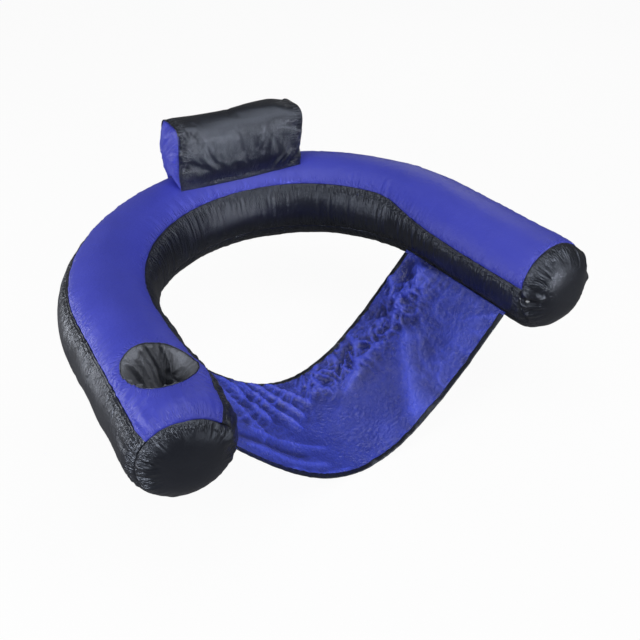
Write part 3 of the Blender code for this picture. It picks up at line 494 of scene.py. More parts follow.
def taffeta_group():
    """Plain-woven filament nylon: fine threads, faint slubs, the small sharp crinkles of a thin coated cloth, and
    short sharp puckers square to each seam."""
    group = bpy.data.node_groups.new("nylon taffeta", "ShaderNodeTree")
    lengths = ("Thread pitch", "Weave depth", "Crinkle size", "Crinkle depth", "Pucker reach", "Pucker depth")
    add_sockets(group, "INPUT", "Vector", "Cloth", "Place", "Seams", "Edge")
    add_sockets(group, "INPUT", "Float", *lengths)
    add_sockets(group, "INPUT", "Color", "Base", "Worn")
    add_sockets(group, "INPUT", "Float", "Smoothness")
    add_sockets(group, "OUTPUT", "Color", "Colour")
    add_sockets(group, "OUTPUT", "Float", "Roughness", "Height")
    given = add_node(group, "NodeGroupInput").outputs
    made = add_node(group, "NodeGroupOutput")

    def joined(node, *values):
        set_inputs(node, dict(enumerate(values)))
        return node.outputs

    def sum_of(operation, *values):
        return joined(add_node(group, "ShaderNodeMath", operation=operation), *values)[0]

    def place_of(x, y, z=0.0):
        return joined(add_node(group, "ShaderNodeCombineXYZ"), x, y, z)[0]

    def parts_of(vector):
        return joined(add_node(group, "ShaderNodeSeparateXYZ"), vector)

    def noise(vector, scale, detail):
        grain = {"Vector": vector, "Scale": scale, "Detail": detail}
        return add_node(group, "ShaderNodeTexNoise", grain).outputs["Fac"]

    def fold_lines(value, width):
        """1 on the lines where a noise crosses its middle, falling to 0 within the width."""
        off = sum_of("DIVIDE", sum_of("ABSOLUTE", sum_of("SUBTRACT", value, 0.5)), width)
        return sum_of("SUBTRACT", 1.0, sum_of("MINIMUM", off, 1.0))

    def puckers(along, gap, seed):
        steps = sum_of("DIVIDE", along, 0.0052)
        slow = noise(place_of(sum_of("MULTIPLY", steps, 0.23), seed), 1.0, 0.0)
        length = sum_of("MULTIPLY", given["Pucker reach"], sum_of("MULTIPLY_ADD", slow, 1.9, 0.05))
        share = sum_of("DIVIDE", gap, length)
        shape = sum_of("MULTIPLY", share, sum_of("EXPONENT", sum_of("SUBTRACT", 1.0, share)))
        shape = sum_of("MULTIPLY", shape, shape)
        lean = sum_of("DIVIDE", gap, 0.016)
        uneven = noise(place_of(steps, lean, seed), 1.0, 1.0)
        folds = sum_of("ADD", fold_lines(uneven, 0.14), sum_of("MULTIPLY", uneven, 1.6))
        return sum_of("MULTIPLY", shape, sum_of("SUBTRACT", folds, 1.1))

    along, across, _none = parts_of(given["Cloth"])
    first, second, _none = parts_of(given["Seams"])
    third, round_edge, _none = parts_of(given["Edge"])
    per_thread = sum_of("DIVIDE", math.pi, given["Thread pitch"])
    warp = sum_of("SINE", sum_of("MULTIPLY", along, per_thread))
    weft = sum_of("SINE", sum_of("MULTIPLY", across, per_thread))
    weave = sum_of("MULTIPLY", warp, weft)
    crinkle_scale = sum_of("DIVIDE", 1.0, given["Crinkle size"])
    broad = fold_lines(noise(given["Place"], crinkle_scale, 3.0), 0.22)
    fine = fold_lines(noise(given["Place"], sum_of("MULTIPLY", crinkle_scale, 2.7), 2.0), 0.15)
    crinkle = sum_of("MULTIPLY_ADD", fine, 0.33, broad)
    drawn = sum_of("ADD", puckers(along, first, 3.0), puckers(along, second, 8.0))
    drawn = sum_of("ADD", drawn, puckers(round_edge, third, 13.0))
    height = sum_of("MULTIPLY", weave, given["Weave depth"])
    height = sum_of("MULTIPLY_ADD", crinkle, given["Crinkle depth"], height)
    height = sum_of("MULTIPLY_ADD", drawn, given["Pucker depth"], height)
    slub = noise(place_of(sum_of("MULTIPLY", along, 0.04), across), 900.0, 1.0)
    blotch = noise(given["Place"], 14.0, 3.0)
    wear = sum_of("MULTIPLY_ADD", slub, 0.25, sum_of("MULTIPLY_ADD", blotch, 0.9, -0.25))
    wear = sum_of("MULTIPLY_ADD", weave, 0.10, wear)
    dye = {"Factor": wear, "A": given["Base"], "B": given["Worn"]}
    mix = add_node(group, "ShaderNodeMix", dye, data_type="RGBA", clamp_factor=True)
    rough = sum_of("ADD", given["Smoothness"], sum_of("MULTIPLY_ADD", blotch, 0.18, -0.09))
    rough = sum_of("MULTIPLY_ADD", crinkle, -0.02, rough)
    set_inputs(made, {"Colour": mix.outputs["Result"], "Roughness": rough, "Height": height})
    return group


taffeta = taffeta_group()


def new_finish(name):
    """A new material, with its tree and its shader."""
    finish = bpy.data.materials.new(name)
    finish.use_nodes = True
    return finish, finish.node_tree, finish.node_tree.nodes["Principled BSDF"]


def nylon(name, base, worn, smoothness, crinkles, puckers, specular=0.5, tint=(1, 1, 1, 1)):
    """A nylon finish: the taffeta's threads over one base colour, its crinkles as size and depth and the puckers at
    its seams as reach and depth."""
    finish, tree, shader = new_finish(name)
    values = {
        "Thread pitch": 0.0005,
        "Weave depth": 0.00004,
        "Crinkle size": crinkles[0],
        "Crinkle depth": crinkles[1],
        "Pucker reach": puckers[0],
        "Pucker depth": puckers[1],
        "Base": base,
        "Worn": worn,
        "Smoothness": smoothness,
        "Place": add_node(tree, "ShaderNodeTexCoord").outputs["Object"],
    }
    for title in ("cloth", "seams", "edge"):
        values[title.capitalize()] = add_node(tree, "ShaderNodeUVMap", uv_map=title).outputs[0]
    weave = add_node(tree, "ShaderNodeGroup", values, node_tree=taffeta).outputs
    bump = add_node(tree, "ShaderNodeBump", {"Distance": 1.0, "Height": weave["Height"]})
    shades = {
        "Specular IOR Level": specular,
        "Specular Tint": tint,
        "Sheen Weight": 0.04,
        "Sheen Roughness": 0.4,
        "Base Color": weave["Colour"],
        "Roughness": weave["Roughness"],
        "Normal": bump.outputs[0],
    }
    set_inputs(shader, shades)
    return finish


blue_nylon = nylon("blue nylon taffeta", deep_blue, blue, 0.42, (0.018, 0.00025), (0.0065, 0.0008))


def cutter_through(name, rings, flip=False):
    """A closed cutter that runs through rings of points."""
    faces = cut_tube(len(rings), len(rings[0]))
    return sewn_object(name, np.array(rings), flipped(faces) if flip else faces)


def plan_cutter(name, spare, low, high, steps=180):
    """An upright cutter for the cup hole, wider than it by spare."""
    turns = full_turn(steps)
    return cutter_through(name, [round_cup(hole_reach(turns) + spare, turns, height) for height in (low, high)])


def cut_away(piece, cutter):
    hole = piece.modifiers.new("hole", "BOOLEAN")
    hole.operation = "DIFFERENCE"
    hole.solver = "EXACT"
    hole.object = cutter
    set_modifiers(piece)
    bpy.data.objects.remove(cutter)


def finish_piece(piece, slot_name, finish, *nodes):
    """Gives a piece its finish, sets it on the chair's body and lets it stand for its solids."""
    piece.data.materials.clear()
    piece.data.materials.append(finish)
    piece.data.shade_smooth()
    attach(piece, "chair")
    if nodes:
        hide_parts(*nodes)
    return piece


panel_places = np.linspace(-cap_seam_place, cap_seam_place, 880)
outer_top_line, outer_low_line = seam_at(outer_seam_turn), seam_at(bottom_seam_turn)
inner_low_line, inner_low_round = seam_at(-bottom_seam_turn), seam_at(2 * math.pi - bottom_seam_turn)
top_cloth = cover_panel("top_cloth", panel_places[::-1], inner_seam, outer_top_line, 50, top_lift)
cut_away(top_cloth, plan_cutter("cup_cut", 0.0, 0.0, 2 * tube_radius))
finish_piece(top_cloth, "blue_fabric", blue_nylon, "cover_top_panel")


# Cover, inner side: black nylon under the blue all round the inside of the horseshoe. It is the short side of
# the bend, so its spare length gathers into upright folds, most of all along the arms.
black = (0.0050, 0.0056, 0.0090, 1)
grey_black = (0.0100, 0.0112, 0.0165, 1)
night_sheen = (0.74, 0.82, 1.0, 1)
black_nylon = nylon(
    "black nylon taffeta", black, grey_black, 0.34, (0.018, 0.00016), (0.0105, 0.0009), 1.0, night_sheen
)

row_gaps, row_drop, row_half_width = (0.0035, 0.0090), 0.0008, 0.0013


def stitched_down(gap):
    """How the two rows of stitches beside a top seam draw the cloth down."""
    return sum(-row_drop * np.exp(-(((gap - row_gap) / row_half_width) ** 2)) for row_gap in row_gaps)


def inner_lift(s, turn):
    top_gap = (inner_seam(s) - turn) * tube_radius
    low_gap = (turn + bottom_seam_turn) * tube_radius
    top, low = (top_gap, 3, (67, 0.011, 0.0016, 0.0070)), (low_gap, 61, (71, 0.010, 0.0016, 0.0080))
    lift = seams_lift(s, turn, top, low, (73, 0.013, 0.0026, 0.0105))
    lift += stitched_down(top_gap) * fade(cap_seam_place - np.abs(s), 0.0, 0.012)
    ends = clear_of_seams(s, top_gap, low_gap, 0.001, 0.016)
    gathered = 0.20 + 0.80 * fade(np.abs(s), 0.44, 0.62)
    lean = 0.006 * ripple(s / 0.06, turn / 0.4, 79)
    lift += 0.0019 * ends * gathered * waver((s + lean) / 0.0080, 83) * (0.6 + 0.4 * waver(s / 0.035, 89))
    lift += 0.0014 * ends * creases((s + lean) / 0.040, turn / 0.9, 97, 2) * (0.5 + 0.5 * waver(s / 0.12, 99))
    lift += 0.0012 * ends * ripple(s / 0.06, turn / 0.5, 101)
    return lift


inner_cloth = cover_panel("inner_side_cloth", panel_places[::-1], inner_low_line, inner_seam, 34, inner_lift)
finish_piece(inner_cloth, "black_fabric", black_nylon, "cover_inner_side_panel")


# Cover, outer side: black nylon all round the outside, with a flat band across the back for the zip and a
# round hole for the air valve. It carries fine cross folds and a few soft dents.
zip_clear_height = 0.0165
zip_slot_half_height, zip_slot_half_depth, zip_slot_spare = 0.0099, 0.02, 0.0003
zip_slot_half_turn = math.radians(24.14) + zip_slot_spare / (arc_radius + zip_flat)
valve_hole_radius = 0.0088


def outer_lift(s, turn):
    top_gap = (turn - outer_seam_turn) * tube_radius
    low_gap = (bottom_seam_turn - turn) * tube_radius
    top, low = (top_gap, 7, (107, 0.012, 0.0015, 0.0072)), (low_gap, 103, (109, 0.010, 0.0016, 0.0085))
    lift = seams_lift(s, turn, top, low, (113, 0.014, 0.0026, 0.0110))
    lift += stitched_down(top_gap) * fade(cap_seam_place - np.abs(s), 0.0, 0.012)
    ends = clear_of_seams(s, top_gap, low_gap)
    height = np.abs(tube_radius * np.cos(turn))
    zip_free = 1 - fade(-height, -zip_clear_height - 0.010, -zip_clear_height) * fade(
        -np.abs(s), -zip_half_reach - 0.030, -zip_half_reach - 0.012
    )
    valve_gap = np.hypot((s - valve_place) * (arc_radius + tube_radius) / arc_radius, height)
    free = zip_free * fade(valve_gap, 0.014, 0.026)
    lift += 0.0014 * ends * creases(s / 0.075, turn / 0.80, 137, 2) * (0.55 + 0.45 * waver(s / 0.15, 139))
    lift += 0.0022 * ends * ripple(s / 0.060, turn / 0.45, 149)
    return lift * np.clip(free, 0, 1) - 0.0016 * fade(-valve_gap, -0.030, -0.018)


def at_main_valve(points):
    """Turns points given across, out of and up from the middle of the valve's hole to the chair's directions."""
    turn = valve_place / arc_radius
    side = np.array((math.cos(turn), -math.sin(turn), 0))
    out = np.array((math.sin(turn), math.cos(turn), 0))
    x, y, z = points[..., 0:1], points[..., 1:2], points[..., 2:3]
    return side * x + out * (arc_radius + zip_flat + y) + np.array((0, 0, 1.0)) * z


def valve_cutter(name, to_chair, radius, depths, steps=48, flip=False):
    """A round cutter along a valve's axis, between two depths."""
    across, up = radius * np.cos(full_turn(steps)), radius * np.sin(full_turn(steps))
    rings = [to_chair(np.stack([across, np.full(steps, depth), up], -1)) for depth in depths]
    return cutter_through(name, rings, flip)


outer_cloth = cover_panel("outer_side_cloth", panel_places[::-1], outer_top_line, outer_low_line, 42, outer_lift)
slot_turns = np.linspace(-zip_slot_half_turn, zip_slot_half_turn, 60)
slot_section = ((-1, -1), (1, -1), (1, 1), (-1, 1))
slot_rings = []
for slot_turn in slot_turns:
    reaches = [
        (arc_radius + zip_flat + out * zip_slot_half_depth, h * zip_slot_half_height) for out, h in slot_section
    ]
    slot_rings.append([(math.sin(slot_turn) * reach, math.cos(slot_turn) * reach, z) for reach, z in reaches])
cut_away(outer_cloth, cutter_through("zip_cut", slot_rings, flip=True))
cut_away(outer_cloth, valve_cutter("valve_cut", at_main_valve, valve_hole_radius, (-0.012, 0.012), flip=True))
finish_piece(outer_cloth, "black_fabric", black_nylon, "cover_outer_side_panel")


# Cover, bottom: the widest black panel, closed by the two lower seams. Spare cloth gathers on its inner half.
def bottom_lift(s, turn):
    outer_gap = (turn - bottom_seam_turn) * tube_radius
    inner_gap = (2 * math.pi - bottom_seam_turn - turn) * tube_radius
    outer, inner = (outer_gap, 103, (151, 0.010, 0.0014, 0.0085)), (inner_gap, 61, (157, 0.012, 0.0015, 0.0080))
    lift = seams_lift(s, turn, outer, inner, (153, 0.013, 0.0010, 0.0110))
    ends = clear_of_seams(s, outer_gap, inner_gap)
    lift += 0.0020 * ends * creases(s / 0.055, turn / 0.6, 163, 3)
    lift += 0.0012 * ends * ripple(s / 0.07, turn / 0.5, 167)
    return lift


bottom_places = np.linspace(cap_seam_place, -cap_seam_place, 480)
bottom_cloth = cover_panel("bottom_cloth", bottom_places, outer_low_line, inner_low_round, 56, bottom_lift)
finish_piece(bottom_cloth, "black_fabric", black_nylon, "cover_bottom_panel")


# End caps: a round black panel eased on to each arm's end. The air domes it, and its spare edge is gathered
# into deep folds that run in from the seam.
cap_rows = 46
cap_columns = 300


def end_cap(name, side, seed, *nodes):
    crown = cap_seam_turn + (math.radians(89.2) - cap_seam_turn) * np.linspace(0, 1, cap_rows) ** 1.35
    turns, angles = grid_of(crown, np.linspace(-math.pi, math.pi, cap_columns, endpoint=False))
    s = sewn_place(side * (arm_end + end_bulge * np.sin(turns)), angles)
    gap = (turns - cap_seam_turn) * 0.078
    around = angles * 0.083
    spread = (0.35 + 0.65 * np.abs(np.sin(angles)) ** 1.5) * (0.25 + 0.75 * fade(np.cos(angles), -0.75, -0.25))
    fading = 1 - fade(gap, 0.022, 0.050)
    lift = seam_puckers(around, gap, seed, 0.015, 0.0046, 0.0125) * spread * fading
    lift += seam_puckers(around + 0.10 * gap, gap, seed + 7, 0.020, 0.0042, 0.0180) * spread**2 * fading
    lift -= 0.0018 * pull_in(gap, 0.028)
    plan_x, plan_y = np.sin(angles) * (1.6 - turns) * 2.2 + 7, np.cos(angles) * (1.6 - turns) * 2.2 + 7
    lift += 0.0014 * fade(gap, 0.01, 0.04) * ripple(plan_x, plan_y, seed + 2)
    centre, outward, share = tube_frame(s)
    radius = tube_radius * share
    forward = np.array((side * math.sin(arm_splay), -math.cos(arm_splay), 0))
    push = lift[..., None] * (forward * np.sin(turns)[..., None])
    radius = radius + lift * np.cos(turns)
    points = centre + outward * (radius * np.sin(angles))[..., None] + upright(radius * np.cos(angles)) + push
    points, faces = closed_cap(points)
    cloth = np.stack([np.sin(angles), np.cos(angles)], -1) * ((1.6 - turns) * 0.07)[..., None]
    cloth = np.concatenate([cloth.reshape(-1, 2), [[0.0, 0.0]]])
    edge = np.concatenate([np.stack([gap, around], -1).reshape(-1, 2), [[0.09, 0.0]]])
    cap = sewn_object(name, points, flipped(faces) if side > 0 else faces, cloth, edge=edge)
    return finish_piece(give_thickness(cap), "black_fabric", black_nylon, *nodes)


right_cap = end_cap("right_cap_cloth", -1, 211, "right_end_cap")
left_cap = end_cap("left_cap_cloth", 1, 223, "left_end_cap")


# Topstitching: two rows of black thread beside each top seam, on the black side, one beside each lower seam
# and one above and below the zip. Every stitch is a short raised bead of thread.
low_row_gap = 0.0050
stitch_pitch, stitch_length, stitch_thickness, stitch_lift = 0.0034, 0.0026, 0.0007, 0.00015
stitch_size = (stitch_length, stitch_thickness, stitch_thickness)
zip_row_height, zip_row_steps = 0.0125, 300
thread_dark, thread_light = (0.012, 0.012, 0.014, 1), (0.045, 0.046, 0.052, 1)


def beads_tree(name, segments, rings, turn):
    """Sets one rounded bead along a line at every step, for stitches and for the teeth of a coil."""
    tree = bpy.data.node_groups.new(name, "GeometryNodeTree")
    for kind, title in (("Geometry", "Line"), ("Float", "Pitch"), ("Vector", "Size"), ("Material", "Finish")):
        add_sockets(tree, "INPUT", kind, title)
    add_sockets(tree, "OUTPUT", "Geometry", "Beads")
    given = add_node(tree, "NodeGroupInput").outputs
    line = add_node(tree, "GeometryNodeMeshToCurve", {"Mesh": given["Line"]}).outputs[0]
    steps = {"Curve": line, "Length": given["Pitch"]}
    spaced = add_node(tree, "GeometryNodeResampleCurve", steps, mode="LENGTH")
    ball = {"Segments": segments, "Rings": rings, "Radius": 0.5}
    bead = add_node(tree, "GeometryNodeMeshUVSphere", ball).outputs["Mesh"]
    turned = add_node(tree, "GeometryNodeTransform", {"Geometry": bead, "Rotation": (0, turn, 0)}).outputs[0]
    shaped = add_node(tree, "GeometryNodeTransform", {"Geometry": turned, "Scale": given["Size"]}).outputs[0]
    tangent = add_node(tree, "GeometryNodeInputTangent").outputs[0]
    aim = add_node(tree, "FunctionNodeAlignRotationToVector", {"Vector": tangent}, axis="X").outputs[0]
    beads = {"Points": spaced.outputs["Curve"], "Instance": shaped, "Rotation": aim}
    placed = add_node(tree, "GeometryNodeInstanceOnPoints", beads).outputs["Instances"]
    real = add_node(tree, "GeometryNodeRealizeInstances", {"Geometry": placed}).outputs[0]
    smooth = add_node(tree, "GeometryNodeSetShadeSmooth", {"Geometry": real}).outputs[0]
    finished = {"Geometry": smooth, "Material": given["Finish"]}
    finish = add_node(tree, "GeometryNodeSetMaterial", finished).outputs["Geometry"]
    add_node(tree, "NodeGroupOutput", {"Beads": finish})
    return tree


def beaded_piece(name, lines, tree, pitch, size, finish, slot_name, *nodes):
    """Turns lines of points into rows of beads, all in one piece on the chair's body."""
    points, edges = [], []
    for line in lines:
        edges += [(len(points) + k, len(points) + k + 1) for k in range(len(line) - 1)]
        points += [tuple(point) for point in line]
    mesh = bpy.data.meshes.new(name)
    mesh.from_pydata(points, edges, [])
    piece = bpy.data.objects.new(name, mesh)
    scene.collection.objects.link(piece)
    modifier = piece.modifiers.new(tree.name, "NODES")
    modifier.node_group = tree
    values = {"Pitch": pitch, "Size": size, "Finish": finish}
    for item in tree.interface.items_tree:
        if item.in_out == "INPUT" and item.name in values:
            modifier[item.identifier] = values[item.name]
    set_modifiers(piece)
    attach(piece, "chair")
    if nodes:
        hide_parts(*nodes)
    return piece


def thread_finish(name, colour, light_colour):
    """Twisted thread: fine slanting plies."""
    finish, tree, shader = new_finish(name)
    place = add_node(tree, "ShaderNodeTexCoord").outputs["Object"]
    plies = {"Vector": place, "Scale": 900}
    twist = add_node(tree, "ShaderNodeTexWave", plies, bands_direction="DIAGONAL").outputs["Fac"]
    tones = {"Factor": twist, "A": colour, "B": light_colour}
    tone = add_node(tree, "ShaderNodeMix", tones, data_type="RGBA").outputs["Result"]
    bump = add_node(tree, "ShaderNodeBump", {"Distance": 0.0001, "Height": twist}).outputs[0]
    set_inputs(shader, {"Base Color": tone, "Normal": bump, "Roughness": 0.5})
    return finish


stitching = beads_tree("topstitching", 5, 4, math.pi / 2)
black_thread = thread_finish("black polyester thread", thread_dark, thread_light)
row_places = np.linspace(-cap_seam_place + 0.004, cap_seam_place - 0.004, 1100)


def row_beside(line, gap, lift):
    """A row of stitches on a panel, at a distance gap on one side of a seam."""
    turn = line(row_places) + gap / tube_radius
    return tube_points(row_places, turn, lift(row_places, turn) + stitch_lift)


cover_rows = []
for gap in row_gaps:
    cover_rows += [row_beside(inner_seam, -gap, inner_lift), row_beside(outer_top_line, gap, outer_lift)]
cover_rows.append(row_beside(outer_low_line, -low_row_gap, outer_lift))
cover_rows.append(row_beside(inner_low_line, low_row_gap, inner_lift))
zip_row_turns = np.linspace(-zip_slot_half_turn, zip_slot_half_turn, zip_row_steps)
zip_row_plan = np.stack([np.sin(zip_row_turns), np.cos(zip_row_turns)], -1) * (arc_radius + zip_flat + 0.0001)
for height in (-zip_row_height, zip_row_height):
    cover_rows.append(np.column_stack([zip_row_plan, np.full(zip_row_steps, height)]))
beaded_piece("cover_stitching", cover_rows, stitching, stitch_pitch, stitch_size, black_thread, "black_fabric")


# Seam tapes: black nylon tape sewn under each seam of the cover, so that the seams carry the air's pull.
tape_half_width, tape_drop, tape_thickness = 0.007, 0.0004, 0.0004
tape_steps, tape_threads = 420, 9
cap_tape_half_width, cap_tape_depth = 0.006, 0.0052
cap_tape_steps, cap_tape_threads = 140, 7


def seam_strip(name, seam, low_side, high_side, *nodes):
    """A tape under a seam: it follows the cloth on each side of the seam, just below its inner face."""
    places = np.linspace(cap_seam_place - 0.008, -cap_seam_place + 0.008, tape_steps)
    s, across = grid_of(places, np.linspace(-tape_half_width, tape_half_width, tape_threads))
    turn = seam(s) + across / tube_radius
    lift = np.where(across < 0, low_side(s, turn), high_side(s, turn)) - cloth_thickness - tape_drop
    faces, cloth = grid_quads(tape_steps, tape_threads), np.stack([s, across], -1)
    strip = give_thickness(sewn_object(name, tube_points(s, turn, lift), faces, cloth), tape_thickness)
    return finish_piece(strip, "black_fabric", black_nylon, *nodes)


def bottom_lift_inside(s, turn):
    """The bottom panel's lift, for turns counted the short way round."""
    return bottom_lift(s, turn + 2 * math.pi)


seam_strip("inner_top_tape", inner_seam, inner_lift, top_lift, "inner_top_seam_tape")
seam_strip("outer_top_tape", outer_top_line, top_lift, outer_lift, "outer_top_seam_tape")
seam_strip("outer_low_tape", outer_low_line, outer_lift, bottom_lift, "outer_bottom_seam_tape")
seam_strip("inner_low_tape", inner_low_line, bottom_lift_inside, inner_lift, "inner_bottom_seam_tape")


def cap_tape(name, side, *nodes):
    """A tape round an arm's end, under the seam of its cap."""
    widths = np.linspace(-cap_tape_half_width, cap_tape_half_width, cap_tape_threads)
    angles, across = grid_of(full_turn(cap_tape_steps), widths)
    s = side * (cap_seam_place + across * 0.9)
    points = tube_points(s, angles, np.full_like(s, -cap_tape_depth))
    faces = grid_quads(cap_tape_threads, cap_tape_steps, ring=True)
    faces = faces if side > 0 else faces[:, ::-1]
    cloth = np.stack([angles * tube_radius, across], -1)
    order = (1, 0, 2)
    tape = sewn_object(name, points.transpose(order), faces, cloth.transpose(order))
    give_thickness(tape, tape_thickness)
    return finish_piece(tape, "black_fabric", black_nylon, *nodes)


cap_tape("right_cap_tape", -1, "right_cap_seam_tape")
cap_tape("left_cap_tape", 1, "left_cap_seam_tape")


# Cup holder: a black nylon pocket sewn into a round hole in the right arm. The bladder crowds it, so its wall
# falls in folds, and its inner side is pressed in as a soft bulge. The hole's edge is a narrow rolled hem.
cup_waist_height = 0.0375
cup_waist_radius = 0.050
cup_floor_radius = 0.041
cup_floor_height = -0.0072
rolled_hem_radius = 0.0011
bulge_turn = -0.10
bulge_half_turn = 0.98
bulge_reach = 0.025
pinch_turn = 1.00
pinch_depth = 0.60
pocket_thickness = 0.0006
# The pocket is black nylon, but its colours are painted mid grey: painted light that stands in for the light reaching
# into the cup.
pocket_painted_light_colour, pocket_worn_painted_light = (0.140, 0.147, 0.168, 1), (0.195, 0.204, 0.232, 1)
pocket_nylon = nylon(
    "thin black pocket nylon painted lighter", pocket_painted_light_colour, pocket_worn_painted_light, 0.42, (0.012, 0.00090), (0.008, 0.0008), 0.8, night_sheen
)


def cup_edge(turns, reach):
    """Points of the cloth's surface round the cup hole, at a plan distance reach from its centre."""
    plan = cup_centre[:2] + np.stack([np.cos(turns), np.sin(turns)], -1) * np.asarray(reach)[..., None]
    arm = np.array([-math.sin(arm_splay), -math.cos(arm_splay)])
    start = cup_out[:2] * arc_radius
    along = (plan - start) @ arm
    aside = (plan - start) @ cup_out[:2]
    turn = np.arcsin(np.clip(aside / tube_radius, -1, 1))
    s = -(arc_half_length + along)
    for _step in range(6):
        lift = top_lift(s, turn) + pocket_push(s, turn)
        turn = np.arcsin(np.clip(aside / (tube_radius + lift), -1, 1))
    return np.stack([plan[..., 0], plan[..., 1], (tube_radius + lift) * np.cos(turn)], -1)


def cup_wall(turns, depth, inset):
    """The pocket's wall: depth runs from 0 at the hole's edge to 1 at the floor."""
    edge = hole_reach(turns) - inset
    rim = cup_edge(turns, edge)
    height = rim[..., 2] + (cup_floor_height - rim[..., 2]) * depth
    levels = (cup_floor_height, cup_waist_height, 0.075, 0.100)
    radius = np.interp(height, levels, (cup_floor_radius, cup_waist_radius, 0.0560, 0.0580)) - inset
    return radius + (edge - radius) * np.exp(-depth / 0.07), height


def cup_folds(turns, depth):
    """How far the pocket's cloth stands inwards of its wall."""
    turn_from_bulge = np.angle(np.exp(1j * (turns - bulge_turn)))
    settle = fade(depth, 0.0, 0.10) * fade(-depth, -1.0, -0.86)
    rise = np.sin(np.pi * np.clip(depth / 0.92, 0, 1)) ** 0.8
    bulge = bulge_reach * np.exp(-((turn_from_bulge / bulge_half_turn) ** 4)) * rise
    across = np.angle(np.exp(1j * (turns - pinch_turn))) * 0.052
    down = (depth - pinch_depth) * 0.095
    reach = np.hypot(across, down)
    ray = np.arctan2(down, -across)
    fan = 0.0060 * waver(ray * 3.2 + 11, 307) + 0.0042 * waver(ray * 6.5 + 3, 311)
    fan = fan * fade(reach, 0.004, 0.030) * np.exp(-((turn_from_bulge / 1.1) ** 4))
    lean = 0.35 * waver(depth * 1.6, 313)
    left = 1 - np.exp(-((turn_from_bulge / 1.05) ** 4))
    drapes = 0.0026 + 0.0060 * (1 - np.abs(waver((turns + lean) * 4.2 + 20, 317)) * 1.8)
    drapes += 0.0030 * waver((turns + lean) * 9.5 + 9, 331) + 0.0012 * waver((turns - lean) * 19 + 5, 333)
    pinch = -0.006 * np.exp(-((reach / 0.008) ** 2)) + 0.006 * np.exp(-(((reach - 0.012) / 0.008) ** 2))
    gathers = 0.0014 * waver(turns * 20, 337) * np.exp(-depth / 0.10)
    inwards = bulge + fan + left * drapes + pinch * 0.6
    return np.clip(inwards * settle, 0, None) + np.clip(gathers * fade(depth, 0.0, 0.02), -0.0002, None) + 0.0004


depths, cup_turns = grid_of(np.linspace(0, 1, 90) ** 1.15, full_turn(260))
wall_radius, wall_height = cup_wall(cup_turns, depths, 0.0006)
wall_points = round_cup(wall_radius - cup_folds(cup_turns, depths), cup_turns, wall_height)
wall_cloth = np.stack([cup_turns * 0.05, depths * 0.1], -1)
pocket_wall = sewn_object("cup_pocket_cloth", wall_points, grid_quads(90, 260, ring=True), wall_cloth)
give_thickness(pocket_wall, pocket_thickness)
finish_piece(pocket_wall, "black_fabric", pocket_nylon, "cup_pocket_wall")

rings, floor_turns = grid_of(np.linspace(1, 0.02, 24), full_turn(130))
floor_reach = rings * (cup_floor_radius - 0.0016)
floor_x, floor_y = floor_reach * np.cos(floor_turns) / 0.016 + 9, floor_reach * np.sin(floor_turns) / 0.016 + 9
floor_rise = 0.0004 * waver(floor_turns * 18, 341) * np.exp(-(1 - rings) / 0.12)
floor_rise += 0.0004 * ripple(floor_x, floor_y, 347)
floor_rings = round_cup(floor_reach, floor_turns, cup_floor_height + floor_rise)
floor_cloth = np.concatenate([floor_rings[..., :2].reshape(-1, 2), cup_centre[None, :2]])
pocket_floor = give_thickness(sewn_object("cup_floor_cloth", *closed_cap(floor_rings), floor_cloth), pocket_thickness)
finish_piece(pocket_floor, "black_fabric", pocket_nylon, "cup_pocket_floor")

hem_columns, hem_sides = 360, 10
hem_turns, hem_rounds = grid_of(full_turn(hem_columns), full_turn(hem_sides))
hem_radius = rolled_hem_radius * (1 + 0.22 * waver(hem_turns * 26, 349))
hem_reach, hem_rise = hem_radius * np.cos(hem_rounds), hem_radius * np.sin(hem_rounds) + 0.0003
hem_offset = np.stack([hem_reach * np.cos(hem_turns), hem_reach * np.sin(hem_turns), hem_rise], -1)
hem_points = cup_edge(hem_turns, hole_reach(hem_turns) - 0.0002) + hem_offset
hem_faces = grid_quads(hem_columns, hem_sides, ring=True, loop=True)[:, (0, 3, 2, 1)]
hem_cloth = np.stack([hem_turns * cup_radius, hem_rounds * 0.001], -1)
cup_hem = sewn_object("cup_rolled_hem", hem_points, hem_faces, hem_cloth)
finish_piece(cup_hem, "black_fabric", black_nylon, "cup_rim_binding")


# Bladders: clear vinyl film, welded to shape and blown up inside the cover. They are hidden; the one in the
# tube has a moulded well round the cup pocket.
film_inset, film_valve_inset, film_wall, film_hole_radius = 0.0072, 0.0036, 0.0005, 0.0078
well_gap, well_drop = 0.0014, 0.0016
film, film_tree, film_shader = new_finish("clear vinyl film")
film_place = add_node(film_tree, "ShaderNodeTexCoord").outputs["Object"]
film_grain = {"Vector": film_place, "Scale": 30, "Detail": 4}
film_cloud = add_node(film_tree, "ShaderNodeTexNoise", film_grain).outputs["Fac"]
film_tones = {"Factor": film_cloud, "A": (0.52, 0.55, 0.58, 1), "B": (0.66, 0.68, 0.70, 1)}
film_tint = add_node(film_tree, "ShaderNodeMix", film_tones, data_type="RGBA").outputs["Result"]
film_bump = add_node(film_tree, "ShaderNodeBump", {"Distance": 0.0006, "Height": film_cloud}).outputs[0]
set_inputs(film_shader, {"Base Color": film_tint, "Roughness": 0.22, "Normal": film_bump})

